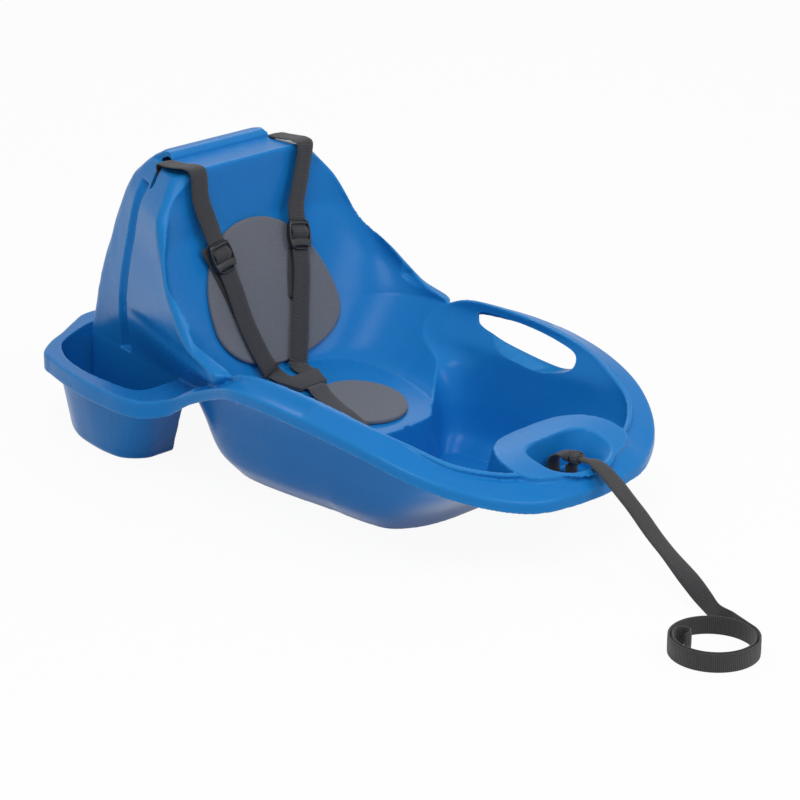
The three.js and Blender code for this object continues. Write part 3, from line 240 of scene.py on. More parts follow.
def skin(rings, joined=False):
    """A closed body over rings of equally many points."""
    rings = np.asarray(rings, float)
    n, m = len(rings), len(rings[0])
    v = rings.reshape(-1, 3)
    last = n if joined else n - 1
    j = np.arange(m)
    k = (j + 1) % m
    faces = []
    for i in range(last):
        a, b = i * m, ((i + 1) % n) * m
        faces.extend(np.stack([a + j, a + k, b + k, b + j], 1).tolist())
    if not joined:
        faces.append(list(range(m))[::-1])
        faces.append(list(range((n - 1) * m, n * m)))
    if signed_volume(v, faces) < 0:
        faces = [f[::-1] for f in faces]
    return body(v, faces)


def stack(levels):
    return skin([level(outline, height) for outline, height in levels])


LOFT_STEP = 4.0


def loft(heights, outlines, shift=0.0, top=None, foot=None):
    """A smooth body through outlines of equally many points at heights."""
    count = max(int((heights[-1] - heights[0]) / LOFT_STEP), 2)
    at = np.linspace(heights[0], heights[-1], count + 1)
    rings = through(heights, outlines, at)
    levels = [(ring, z + shift) for ring, z in zip(rings, at)]
    if foot is not None:
        levels.insert(0, (rings[0], foot))
    if top is not None:
        levels.append((rings[-1], top))
    return stack(levels)


def upright(outline, low, high):
    return stack([(np.asarray(outline, float), z) for z in (low, high)])


def crossways(points, half):
    """A body of one outline, seen from the side, across the sled's width."""
    p = np.asarray(points, float)
    return skin([np.c_[p[:, 0], np.full(len(p), y), p[:, 1]] for y in (-half, half)])


def evaluated(obj):
    """The body with its modifiers worked into its mesh."""
    graph = bpy.context.evaluated_depsgraph_get()
    mesh = bpy.data.meshes.new_from_object(obj.evaluated_get(graph))
    obj.modifiers.clear()
    old = obj.data
    obj.data = mesh
    bpy.data.meshes.remove(old)
    return obj


def combine(first, operation, *others):
    """The first body joined with, cut by or kept inside the others, one after another."""
    for other in others:
        mod = first.modifiers.new("cut", "BOOLEAN")
        mod.operation = operation
        mod.solver = "MANIFOLD"
        mod.object = other
        evaluated(first)
    return first


def copy(obj):
    return placed(obj.name, obj.data.copy())


def both(make, *sizes):
    """The left and the right one of a mirrored body."""
    return make(1, *sizes), make(-1, *sizes)


def join(first, *others):
    return combine(first, "UNION", *others)


def cut(first, *others):
    return combine(first, "DIFFERENCE", *others)


def keep(first, *others):
    return combine(first, "INTERSECT", *others)


# The rim, as shares of the length, the width and its height; the tables that follow run along the sled
RIM_FRONT = [
    (1, 0, 0), (0.994, 0.18, 0.01), (0.981, 0.352, 0.03), (0.957, 0.469, 0.06),
    (0.904, 0.643, 0.19), (0.82, 0.798, 0.37), (0.725, 0.901, 0.56), (0.611, 0.958, 0.75),
    (0.477, 0.991, 0.89), (0.33, 1, 0.975), (0.196, 0.988, 1), (0.097, 0.967, 0.97),
]
RIM_REAR = [
    (0.015, 0.92, 0.77), (-0.055, 0.897, 0.57), (-0.149, 0.878, 0.27), (-0.211, 0.873, 0.07),
    (-0.25, 0.92, 0.01), (-0.285, 0.965, 0), (-0.348, 0.986, 0), (-0.435, 0.972, 0),
    (-0.542, 0.944, 0), (-0.671, 0.883, 0), (-0.748, 0.836, 0), (-0.802, 0.798, 0),
    (-0.87, 0.643, 0), (-0.907, 0.507, 0), (-0.964, 0.324, 0), (-0.998, 0.2, 0), (-1, 0, 0),
]
rim_points = [(u * HL, v * HW, mix(NOSE_HEIGHT, HANDLE_HEIGHT, w)) for u, v, w in RIM_FRONT]
rim_points += [(u * HL, v * HW, mix(BUCKET_HEIGHT, HANDLE_HEIGHT, w)) for u, v, w in RIM_REAR]
RIM_STEPS = 230
rim_half = even(centripetal(rim_points, 2 * RIM_STEPS), RIM_STEPS)
rim_half[0, 1] = rim_half[-1, 1] = 0
rim_loop = np.vstack([rim_half, rim_half[-2:0:-1] * [1, -1, 1]])
INSET_SHARES = [(-1, 0.6), (-0.25, 0.6), (0.05, 1), (0.7, 1.15), (1, 0.95)]
RISE_SHARES = [(-1, 0), (-0.25, 0), (0.1, 1), (0.75, 0.9), (0.9, 1.1), (1, 1.7)]
WIDE_SHARES = [(-1, 0.74), (-0.27, 0.74), (-0.2, 1.35), (0.05, 1.35), (0.7, 1.5), (1, 1.3)]
DROP_SHARES = [(-1, 0), (-0.25, 0), (0.1, 1), (0.6, 1), (0.8, 0.2), (1, 0)]
LIP_SHARES = [(-1, 0), (-0.25, 0), (-0.1, 1), (1, 1)]
COVE_SHARES = [(-1, 0), (-0.1, 0), (0.02, 1), (0.385, 1), (0.405, 0), (1, 0)]
COVE, LEAST_COVE = 3.2, 0.1
RIM_RADII = [1.2, 3, 6, 4, 6, 1.2, 1.2, 3, 5, 4, 3, 1.2]


def along(table, share):
    """What a table gives at a share of the length."""
    table = np.asarray(table, float)
    share = np.clip(share, table[0, 0], table[-1, 0])
    return through(table[:, 0], table[:, 1], np.atleast_1d(share))


def crest_at(x):
    order = np.argsort(rim_half[:, 0])
    edge = np.interp(x, rim_half[order, 0], rim_half[order, 2])
    return edge + CREST_RISE * along(RISE_SHARES, np.asarray(x) / HL)


def rim_body():
    """The rolled rim: up the lip, in over the crest, down the bar and back under all of it."""
    before, after = np.roll(rim_loop, 1, 0), np.roll(rim_loop, -1, 0)
    inward = np.c_[(before - after)[:, 1], (after - before)[:, 0]]
    inward /= np.linalg.norm(inward, axis=1)[:, None]
    u = rim_loop[:, 0] / HL
    inset, rise = CREST_INSET * along(INSET_SHARES, u), CREST_RISE * along(RISE_SHARES, u)
    width = RIM_WIDTH * along(WIDE_SHARES, u)
    drop = np.maximum(HANDLE_BAR * along(DROP_SHARES, u), 2 * WALL)
    lip = mix(BUCKET_LIP, LIP, along(LIP_SHARES, u))
    cove = LEAST_COVE + COVE * along(COVE_SHARES, u)
    rings = []
    for i, here in enumerate(rim_loop):
        a, r, w, d, down = inset[i], rise[i], width[i], drop[i], lip[i]
        hollow = (a / 2, r / 2 - cove[i])
        under_hollow = (a / 2 + WALL / 2, r / 2 - cove[i] - WALL)
        section = [
            (0, -down), (0, 0), hollow, (a, r), (w, r), (w, r - d), (w - WALL, r - d),
            (w - WALL, r - WALL), (a, r - WALL), under_hollow, (WALL, -WALL), (WALL, -down),
        ]
        ease = rounded(section, RIM_RADII)
        rings.append(here + ease[:, :1] * np.r_[inward[i], 0] + ease[:, 1:] * [0, 0, 1])
    return skin(rings, True)


# The leg well and the hull round it
LEG = [
    [(0.537, 0), (0.532, 0.21), (0.512, 0.365), (0.467, 0.48), (0.4, 0.507), (0.323, 0.51),
     (0.268, 0.505), (0.234, 0.48), (0.219, 0.42), (0.248, 0.33), (0.281, 0.21), (0.291, 0)],
    [(0.591, 0), (0.584, 0.235), (0.561, 0.43), (0.512, 0.555), (0.427, 0.6), (0.323, 0.605),
     (0.258, 0.6), (0.209, 0.555), (0.196, 0.46), (0.241, 0.32), (0.276, 0.21), (0.288, 0)],
    [(0.745, 0), (0.738, 0.245), (0.705, 0.47), (0.631, 0.61), (0.522, 0.652), (0.393, 0.652),
     (0.281, 0.652), (0.196, 0.605), (0.179, 0.488), (0.231, 0.32), (0.273, 0.21), (0.286, 0)],
    [(0.919, 0), (0.907, 0.263), (0.857, 0.488), (0.758, 0.648), (0.621, 0.695), (0.46, 0.69),
     (0.303, 0.69), (0.176, 0.648), (0.129, 0.52), (0.197, 0.34), (0.262, 0.216), (0.283, 0)],
    [(0.922, 0), (0.912, 0.272), (0.867, 0.493), (0.773, 0.676), (0.641, 0.714), (0.472, 0.709),
     (0.303, 0.709), (0.12, 0.694), (0.03, 0.625), (0.14, 0.39), (0.245, 0.22), (0.281, 0)],
    [(0.924, 0), (0.914, 0.272), (0.87, 0.498), (0.775, 0.704), (0.651, 0.807), (0.472, 0.836),
     (0.29, 0.845), (0.06, 0.83), (-0.075, 0.737), (0.07, 0.43), (0.22, 0.235), (0.278, 0)],
]
LEG_BROW = LEG[-1][:6] + [
    (0.26, 0.845), (0.01, 0.84), (-0.14, 0.8), (0.02, 0.47), (0.2, 0.25), (0.278, 0),
]
HULL_REAR = [
    [(0.05, 0.516), (-0.1, 0.488), (-0.19, 0.376), (-0.245, 0.188), (-0.26, 0)],
    [(0.05, 0.605), (-0.124, 0.57), (-0.229, 0.451), (-0.278, 0.235), (-0.291, 0)],
    [(0.05, 0.652), (-0.149, 0.615), (-0.258, 0.498), (-0.318, 0.258), (-0.33, 0)],
    [(0.05, 0.69), (-0.169, 0.648), (-0.303, 0.53), (-0.358, 0.282), (-0.368, 0)],
    [(0.05, 0.709), (-0.174, 0.662), (-0.313, 0.54), (-0.363, 0.286), (-0.373, 0)],
    [(0.05, 0.831), (-0.124, 0.742), (-0.303, 0.601), (-0.363, 0.329), (-0.373, 0)],
]
WAIST = 100.0
CALF = mix(FLOOR_EDGE, WAIST, 0.4) + CREST_RISE
LEG_HEIGHTS = [WALL, FLOOR_EDGE + WALL / 2, CALF, WAIST, SILL, HANDLE_HEIGHT]
BROW_HEIGHT = HANDLE_HEIGHT + 2 * CREST_RISE
HALF_STEPS, FRONT_POINTS = 110, 7
leg_outlines = [whole(spline(plan(table), HALF_STEPS)) for table in (*LEG, LEG_BROW)]
hull_outlines = [
    whole(spline(plan(front[:FRONT_POINTS] + rear), HALF_STEPS)) for front, rear in zip(LEG, HULL_REAR)
]


def leg_tool(distance, shift):
    outlines = [grow(outline, distance) for outline in leg_outlines]
    return loft([*LEG_HEIGHTS, BROW_HEIGHT], outlines, shift=shift, top=TOP)


def hull_tool(distance, foot=None, top=None, under_rim=0.0):
    """The hull; under_rim thickens its sloping upper wall, which the rim hides from outside."""
    heights = [0.0] + LEG_HEIGHTS[1:] if foot is None else LEG_HEIGHTS
    extra = [0, 0, 0, 0, under_rim, under_rim]
    outlines = [grow(outline, distance + more) for outline, more in zip(hull_outlines, extra)]
    return loft(heights, outlines, foot=foot, top=top)


CREST_STEPS = 240


def below_crest(drop):
    """All that lies under the line of the rim's crest."""
    x = np.linspace(HL + OVER, -HL - OVER, CREST_STEPS)
    z = crest_at(x) - WALL / 4 - drop
    line = np.vstack([np.c_[x, z], [[-HL - OVER, -OVER], [HL + OVER, -OVER]]])
    return crossways(line, WIDTH)


# The seat and the back
SEAT = [(0.281, 0), (0.278, 0.141), (0.268, 0.221), (0.239, 0.3), (0.181, 0.376), (0.099, 0.418)]
BACK = [
    (0.44, -0.256, 0.052, 0.831), (0.57, -0.298, -0.169, 0.803), (0.7, -0.341, -0.251, 0.751),
    (0.76, -0.358, -0.278, 0.7), (0.824, -0.358, -0.303, 0.657), (0.89, -0.356, -0.336, 0.573),
    (0.945, -0.353, -0.343, 0.446),
]
SEAT_REAR_X, SEAT_SIDE_X, SEAT_HALF, POWER = -0.191 * HL, 0.052 * HL, 92.0, 0.72
SEAT_FRONT_X = SEAT[0][0] * HL
FRONT_REACH, FRONT_STEPS = 150.0, 40
REACH = [(1, 0), (1, 0.4), (0.98, 0.75), (0.9, 0.95), (0.6, 1), (0.3, 1)]
FOOT_RINGS, BACK_RINGS, FOOT_SWELL, SWELL_RUN = 18, 46, 0.1, 0.06


def seat_height(x):
    return mix(SEAT_FRONT, SEAT_REAR, (SEAT_FRONT_X - np.asarray(x, float)) / (SEAT_FRONT_X - SEAT_REAR_X))


def back_arc(side_x, side_y, rear_x, steps=60):
    """Half of the back in plan, from its side to its middle."""
    a = np.linspace(0, math.pi / 2, steps + 1)
    u, v = np.sin(a) ** POWER, np.abs(np.cos(a)) ** POWER
    line = np.c_[mix(side_x, rear_x, u), side_y * v]
    line[-1, 1] = 0
    return line


def seat_outline(distance):
    front = even(spline(plan(SEAT), 2 * FRONT_STEPS), FRONT_STEPS)
    return grow(whole(np.vstack([front, back_arc(SEAT_SIDE_X, SEAT_HALF, SEAT_REAR_X)])), distance)


def back_outline(row, distance):
    x, y = row[2] * HL, row[3] * HW
    front = np.array([(mix(x, FRONT_REACH, u), y * v) for u, v in REACH])
    front = even(spline(front, 2 * FRONT_STEPS), FRONT_STEPS)
    return grow(whole(np.vstack([front, back_arc(x, y, row[1] * HL)])), distance)


def seat_tool(distance, drop):
    """The space over the seat and before the back."""
    seat = seat_outline(distance)
    rows = [back_outline(row, distance) for row in BACK]
    heights = [row[0] * BACK_HEIGHT for row in BACK]
    rings = []
    foot = level(seat, lambda x: seat_height(x) - drop)
    first = level(rows[0], heights[0])
    for t in np.linspace(0, 1, FOOT_RINGS)[:-1]:
        out = t + FOOT_SWELL * (1 - np.exp(-t / SWELL_RUN)) * (1 - t)
        ring = foot * (1 - t) + first * t
        ring[:, :2] = foot[:, :2] * (1 - out) + first[:, :2] * out
        rings.append(ring)
    at = np.linspace(heights[0], heights[-1], BACK_RINGS)
    for z, outline in zip(at, through(heights, rows, at)):
        rings.append(level(outline, z))
    rings.append(level(rows[-1], TOP))
    return skin(rings)


# The hood
HOOD = [
    (0.281, 0.012, 0.704, -0.87), (0.315, 0.012, 0.73, -0.862), (0.44, 0.005, 0.915, -0.83),
    (0.486, -0.094, 0.892, -0.816), (0.568, -0.176, 0.85, -0.79), (0.693, -0.283, 0.746, -0.742),
    (0.824, -0.345, 0.676, -0.686), (0.89, -0.362, 0.59, -0.648), (0.945, -0.38, 0.51, -0.592),
    (0.975, -0.39, 0.45, -0.553), (1, -0.4, 0.4, -0.51),
]
HOOD_RADII, HOOD_STEPS = [0, 8, 8, 12, 12, 0], 90


def hood_half(row):
    front = np.array([row[1] * HL, row[2] * HW])
    corner = np.array([row[3] * HL, HOOD_HALF])
    sharp = [
        (front[0] + BAND, 0), (front[0] + BAND, front[1] - BAND), front,
        mix(front, corner, 0.5), corner, (corner[0], 0),
    ]
    return even(rounded(sharp, HOOD_RADII, 8, False), HOOD_STEPS)


def hood_tool(distance):
    heights = [row[0] * BACK_HEIGHT for row in HOOD]
    return loft(heights, [grow(whole(hood_half(row)), distance) for row in HOOD])


def hood_side_at(height, x):
    """How far out the hood's side stands at a height."""
    table = np.asarray(HOOD)
    at = through(table[:, 0], table[:, 1:], [max(height / BACK_HEIGHT, HOOD[0][0])])[0]
    front, corner = (at[0] * HL, at[1] * HW), (at[2] * HL, HOOD_HALF)
    return mix(front[1], corner[1], (front[0] - x) / (front[0] - corner[0]))


ROLL = [
    (-0.3, 0.969), (-0.445, 0.969), (-0.462, 0.985), (-0.485, 1), (-0.515, 1), (-0.545, 0.986),
    (-0.575, 0.96), (-0.62, 0.92),
]
SHOULDER_HIGH, SHOULDER_FALL, SHOULDER_RUN, ROLL_HALF = BACK_HEIGHT - 11, 10.0, 40.0, 77.0


def above_roll(drop):
    """All that lies over the hood's rolled top edge and its ledge."""
    line = spline([(u * HL, w * BACK_HEIGHT - drop) for u, w in ROLL], 60)
    round_it = [(-LENGTH, SHOULDER_HIGH - OVER), (-LENGTH, TOP + OVER), (0, TOP + OVER), (0, LEDGE - drop)]
    return crossways(np.vstack([line, round_it]), WIDTH)


def shoulder(side, drop):
    """All that lies over the hood's sloping shoulder."""
    high = SHOULDER_HIGH - drop
    section = np.array([
        (ROLL_HALF, high), (ROLL_HALF + SHOULDER_RUN, high - SHOULDER_FALL),
        (WIDTH, high - SHOULDER_FALL), (WIDTH, TOP + OVER), (ROLL_HALF, TOP + OVER),
    ])
    out = side * section[:, 0]
    return skin([np.c_[np.full(len(section), x), out, section[:, 1]] for x in (-LENGTH, 0)])


FLUTE_LINE = [(0.9, -0.535), (0.8, -0.56), (0.6, -0.597), (0.4, -0.63), (0.28, -0.65), (0.2, -0.665)]
FLUTE_RINGS, FLUTE_ROUND, FLUTE_OUT = 40, 28, 0.4


def flute(side, radius, rise=0):
    """The upright channel in the hood's side."""
    a = full_turn(FLUTE_ROUND)
    rings = []
    for i, (w, u) in enumerate(spline(FLUTE_LINE, FLUTE_RINGS)):
        z, x = w * BACK_HEIGHT + rise * (i == 0), u * HL
        y = hood_side_at(z, x) + radius * FLUTE_OUT
        rings.append(np.c_[x + radius * np.cos(a), side * y + radius * np.sin(a), np.full(FLUTE_ROUND, z)])
    return skin(rings)


SLOT_X, SLOT_Y = -0.478 * HL, ROLL_HALF + SLOT_LENGTH / 2 - WALL / 2


def slot(side):
    """The slot through the shoulder for a strap."""
    x, y, a, b = SLOT_X, side * SLOT_Y, SLOT_WIDTH / 2, SLOT_LENGTH / 2
    outline = rounded([(x - a, y - b), (x + a, y - b), (x + a, y + b), (x - a, y + b)], [WALL] * 4)
    return upright(outline, SHOULDER_HIGH - OVER, TOP)


# The bucket, its deck and the island inside it
BUCKET_TOP = [
    (-0.318, 0), (-0.318, 0.329), (-0.316, 0.657), (-0.316, 0.826), (-0.353, 0.878),
    (-0.502, 0.869), (-0.606, 0.845), (-0.725, 0.775), (-0.827, 0.653), (-0.875, 0.531),
    (-0.929, 0.31), (-0.942, 0.141), (-0.944, 0),
]
BUCKET_FLOOR = [
    (-0.402, 0), (-0.402, 0.329), (-0.402, 0.61), (-0.41, 0.714), (-0.457, 0.793),
    (-0.522, 0.803), (-0.606, 0.779), (-0.686, 0.737), (-0.765, 0.653), (-0.815, 0.563),
    (-0.86, 0.357), (-0.884, 0.16), (-0.887, 0),
]
BUCKET_RADIUS, BUCKET_ROUND = 7, (0, 0.5, 0.8, 0.95, 1)
DECK_FRONT, DECK_STEPS, ISLAND_FRONT = -0.1, 120, -0.305
foot_outline = whole(hood_half(HOOD[0]))


def bucket_tool(distance, low, high):
    """The bucket's form, with a rounded edge round its floor."""
    top, floor = (whole(spline(plan(table), HALF_STEPS)) for table in (BUCKET_TOP, BUCKET_FLOOR))
    inner = grow(floor, -BUCKET_RADIUS)
    levels = []
    for share in BUCKET_ROUND:
        rise = BUCKET_RADIUS * (1 - math.sqrt(1 - share * share))
        levels.append((grow(mix(inner, floor, share), distance), low + rise))
    return stack(levels + [(grow(top, distance), high)])


def deck_body():
    """The deck round the bucket, one wall thick under the line of the crest."""
    x = np.linspace(DECK_FRONT * HL, -HL - OVER, DECK_STEPS)
    z = crest_at(x)
    line = np.vstack([np.c_[x, z], np.c_[x, z - WALL][::-1]])
    return keep(crossways(line, WIDTH), upright(grow(rim_loop[:, :2], -WALL), -OVER, TOP))


def island_tool(distance, low, high):
    """The hood's foot inside the bucket, cut off square in front."""
    foot = stack([(grow(foot_outline, distance + WALL), low), (grow(foot_outline, distance), high)])
    x = ISLAND_FRONT * HL
    behind = [(x, WIDTH), (-LENGTH, WIDTH), (-LENGTH, -WIDTH), (x, -WIDTH)]
    return keep(foot, upright(behind, UNDERGROUND, TOP + OVER))


# The console on the nose
CONSOLE_TOP = [
    (0.984, 0), (0.974, 0.235), (0.93, 0.39), (0.85, 0.41), (0.785, 0.35), (0.745, 0.235),
    (0.735, 0.1), (0.735, 0),
]
CONSOLE_FOOT = [
    (0.9, 0), (0.895, 0.235), (0.87, 0.42), (0.79, 0.46), (0.72, 0.38), (0.675, 0.255),
    (0.655, 0.1), (0.655, 0),
]
RECESS_TOP = [
    (0.97, 0), (0.962, 0.13), (0.93, 0.225), (0.885, 0.25), (0.835, 0.235), (0.811, 0.15), (0.808, 0),
]
RECESS_FLOOR = [
    (0.915, 0), (0.908, 0.09), (0.885, 0.145), (0.85, 0.16), (0.826, 0.14), (0.814, 0.08), (0.814, 0),
]
RECESS_FLOOR_Z, RECESS_BELLY, RECESS_RINGS = CONSOLE - RECESS, 1.6, 12
BAR_X, TOW_BAR, TOW_SLOT, TOW_SLOT_HALF = 0.86 * HL, 12.0, 12.0, 12.0
CONSOLE_NARROW, CONSOLE_STEPS, CONSOLE_FOOT_Z, CONSOLE_END_Z = 0.99, 70, 30, 78
HUMP_SHARE, HUMP_LOW, HUMP_HIGH, HUMP_DEEP = 0.696, 88, 101, 8
CONSOLE_SIDE = [
    (0, CONSOLE), (0.6 * HL, CONSOLE), (0.79 * HL, CONSOLE), (0.955 * HL, 99.5), (HL, 84),
    (HL * 1.06, CONSOLE_END_Z),
]
console_line = spline(CONSOLE_SIDE, 60)


def console_outline(shares):
    return whole(spline(plan([(u, v * CONSOLE_NARROW) for u, v in shares]), CONSOLE_STEPS))


console_top, console_foot = console_outline(CONSOLE_TOP), console_outline(CONSOLE_FOOT)


def under_console_top(drop):
    """All that lies under the line of the console's top, seen from the side."""
    ends = [[LENGTH, CONSOLE_END_Z - drop], [LENGTH, UNDERGROUND], [0, UNDERGROUND]]
    return crossways(np.vstack([console_line - [0, drop], ends]), WIDTH)


def console_body(distance):
    """The console, from inside the nose up to its sloping top."""
    levels = [(console_foot, CONSOLE_FOOT_Z), (console_top, CONSOLE + OVER / 4)]
    column = stack([(grow(outline, distance), z) for outline, z in levels])
    return keep(column, under_console_top(max(-distance, 0)))


def recess_tool(distance, drop):
    """The bowl in the console, its mouth on the sloping top."""
    floor, top = (grow(console_outline(table), distance) for table in (RECESS_FLOOR, RECESS_TOP))
    levels = []
    for share in np.linspace(0, 1, RECESS_RINGS):
        outline = mix(floor, top, share**RECESS_BELLY)
        mouth = np.interp(outline[:, 0], *console_line.T)
        levels.append(np.c_[outline, mix(RECESS_FLOOR_Z - drop, mouth, share)])
    return skin(levels + [level(top, CONSOLE + OVER)])


def tow_slot(side):
    """The slot before or behind the tow bar."""
    near = BAR_X + side * TOW_BAR / 2
    far, reach = near + side * TOW_SLOT, TOW_SLOT_HALF
    outline = [(near, -reach), (far, -reach), (far, reach), (near, reach)]
    return upright(outline, RECESS_FLOOR_Z - OVER / 4, RECESS_FLOOR_Z + OVER / 4)


# The windows under the handle bars
WINDOW_INSIDE = [
    (0.47, 1), (0.54, 0.96), (0.563, 0.65), (0.55, 0.22), (0.463, -0.12), (0.383, -0.07), (0.298, 0.05),
    (0.207, 0.27), (0.155, 0.46), (0.105, 0.76), (0.15, 0.95), (0.236, 1), (0.36, 1),
]
WINDOW_OUTSIDE = [
    (0.47, 1), (0.54, 0.96), (0.562, 0.65), (0.552, 0.3), (0.505, 0.08), (0.425, 0.14), (0.32, 0.3),
    (0.231, 0.46), (0.19, 0.54), (0.163, 0.66), (0.155, 0.93), (0.236, 1), (0.36, 1),
]
WINDOW_INNER_Y, WINDOW_OUTER_Y, INTO_BAR, WINDOW_STEPS = 150.0, 165.0, 3.5, 8


def window_line(shares, distance):
    """The outline of the opening under a handle bar, seen from the side."""
    p = np.array(shares)
    x = p[:, 0] * HL
    z = mix(SILL, crest_at(x) - HANDLE_BAR + INTO_BAR, p[:, 1])
    line = spline(np.vstack([np.c_[x, z]] * 3), (3 * len(p) - 1) * WINDOW_STEPS)
    once = len(p) * WINDOW_STEPS
    return grow(line[once : 2 * once], distance)


def through_window(side, distance, low, high):
    """The opening's form between two distances from the middle."""
    inside, outside = (window_line(table, distance) for table in (WINDOW_INSIDE, WINDOW_OUTSIDE))
    places = [(low, inside), (WINDOW_INNER_Y, inside), (WINDOW_OUTER_Y, outside), (high, outside)]
    return skin([np.c_[line[:, 0], np.full(len(line), side * y), line[:, 1]] for y, line in places])


def handle_window(side):
    return through_window(side, 0, 0.6 * HW, HW - 4 * WALL)


def window_collar(side):
    """The short lip that lines the opening behind the sloping wall."""
    return through_window(side, WALL, WINDOW_INNER_Y - WALL, WINDOW_OUTER_Y + WALL / 2)


# The moulding
def console_hump():
    """The console standing over the rim's crest, with a skirt that carries it down to the rim."""
    skirt = upright(mix(console_foot, console_top, HUMP_SHARE), HUMP_LOW, HUMP_HIGH)
    hump = keep(join(console_body(0), skirt), under_console_top(0))
    return cut(hump, below_crest(HUMP_DEEP))


def hood_inside():
    """The space inside the hood and the island, open to below and to the bucket's arms."""
    wall = UNSEEN_WALL
    inside = cut(hood_tool(-wall), above_roll(wall), *both(shoulder, wall))
    inner = island_tool(-wall, -OVER - 5, HOOD[1][0] * BACK_HEIGHT)
    inside = join(inside, cut(inner, hull_tool(WALL)))
    return cut(inside, *both(flute, FLUTE + wall, wall), seat_tool(wall, wall))


def under_seat():
    """The space under the seat and round the leg well, inside the hull."""
    wall = UNSEEN_WALL
    under = keep(hull_tool(WALL - wall, foot=-OVER), below_crest(wall))
    return cut(under, leg_tool(wall, -wall), seat_tool(wall, wall))


def console_hollow():
    """The space under the console, open to below."""
    foot = upright(grow(console_foot, -UNSEEN_WALL), -OVER, CONSOLE_FOOT_Z + 0.5)
    return join(console_body(-UNSEEN_WALL), foot)


def moulding():
    """Outer forms joined, then the spaces above and below the wall cut out of them."""
    hood, hull = hood_tool(0), hull_tool(WALL, top=BROW_HEIGHT, under_rim=UNDER_RIM)
    island = island_tool(0, -OVER, HOOD[1][0] * BACK_HEIGHT)
    bucket_space = cut(bucket_tool(0, WALL, BUCKET_HEIGHT + OVER / 2), island, copy(hood))
    recess = recess_tool(0, 0)
    recess_skin = cut(keep(recess_tool(UNSEEN_WALL, WALL), under_console_top(0)), recess)
    hood = cut(hood, above_roll(0), *both(shoulder, 0), *both(flute, FLUTE))
    shell = join(keep(hull, below_crest(0)), hood, bucket_tool(WALL, 0, BUCKET_HEIGHT - WALL / 2))
    shell = join(shell, deck_body(), rim_body(), *both(window_collar))
    shell = join(cut(shell, cut(leg_tool(0, 0), console_body(0))), console_hump())
    spaces = bucket_space, hood_inside(), under_seat(), console_hollow(), recess
    return join(cut(shell, seat_tool(0, 0), *spaces), recess_skin)


def even_mesh(obj, size):
    """The body's surface as an even net of that mesh size."""
    mod = obj.modifiers.new("even", "REMESH")
    mod.mode = "VOXEL"
    mod.voxel_size = size
    mod.adaptivity = 0
    return evaluated(obj)


def points_of(obj):
    co = np.zeros(len(obj.data.vertices) * 3, np.float32)
    obj.data.vertices.foreach_get("co", co)
    return co.reshape(-1, 3).astype(float)


def put_points(obj, v):
    obj.data.vertices.foreach_set("co", np.asarray(v, np.float32).ravel())
    obj.data.update()


def edges_of(obj):
    e = np.zeros(len(obj.data.edges) * 2, np.int32)
    obj.data.edges.foreach_get("vertices", e)
    return e.reshape(-1, 2)


def neighbours(v, e):
    """How many neighbours each point has."""
    return np.bincount(e.ravel(), minlength=len(v)).astype(float)


def mean_of_neighbours(v, e, count):
    out = np.empty_like(v)
    for k in range(v.shape[1]):
        total = np.bincount(e[:, 0], v[e[:, 1], k], len(v))
        total += np.bincount(e[:, 1], v[e[:, 0], k], len(v))
        out[:, k] = total / count
    return out


STEADY = 0.03


def relaxed(v, e, rounds, share):
    """Surface points evened out; each second step keeps the form's size."""
    count = neighbours(v, e)
    for _ in range(rounds):
        v = v + share * (mean_of_neighbours(v, e, count) - v)
        v = v - (share + STEADY) * (mean_of_neighbours(v, e, count) - v)
    return v


def step(x, low, high):
    """From 0 to 1 between two places, soft at both."""
    t = np.clip((x - low) / (high - low), 0, 1)
    return float(t * t * (3 - 2 * t))


def shaded(obj):
    obj.data.polygons.foreach_set("use_smooth", [True] * len(obj.data.polygons))
    return obj


def in_metres(obj):
    obj.data.transform(Matrix.Scale(MM, 4))
    return shaded(obj)


def mark(obj, name, kind, field, values):
    """Gives each point of the body a value of that name."""
    attribute = obj.data.attributes.new(name, kind, "POINT")
    attribute.data.foreach_set(field, np.asarray(values, np.float32).ravel())


def mark_lay(obj, lay):
    """Marks webbing with how its ribs lie: across it, through it and along it, in millimetres."""
    mark(obj, "lay", "FLOAT_VECTOR", "vector", lay)


def finished(obj, name, material, body_name, *replaced):
    obj.name = obj.data.name = name
    obj.data.materials.clear()
    obj.data.materials.append(material)
    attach(obj, body_name)
    if replaced:
        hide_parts(*replaced)
    return obj


# Webbing
WEB_FACE = [(-1, 0.82), (-0.5, 1), (0, 1), (0.5, 1), (1, 0.82)]
WEB_EDGE, WEB_SIDE, GATHERED_CROWN, WEB_END = 0.5, 0.35, 0.16, 0.97
WEBBING_WIDTH, WEBBING, TOW_WIDTH, TOW_WEBBING = 25.0, 1.6, 20.0, 2.2
SIDEWAYS = np.array([0.0, 1.0, 0.0])
UPWARDS = np.array([0.0, 0.0, 1.0])
LENGTHWAYS = np.array([1.0, 0.0, 0.0])


def always(direction):
    return lambda share, tangent: direction


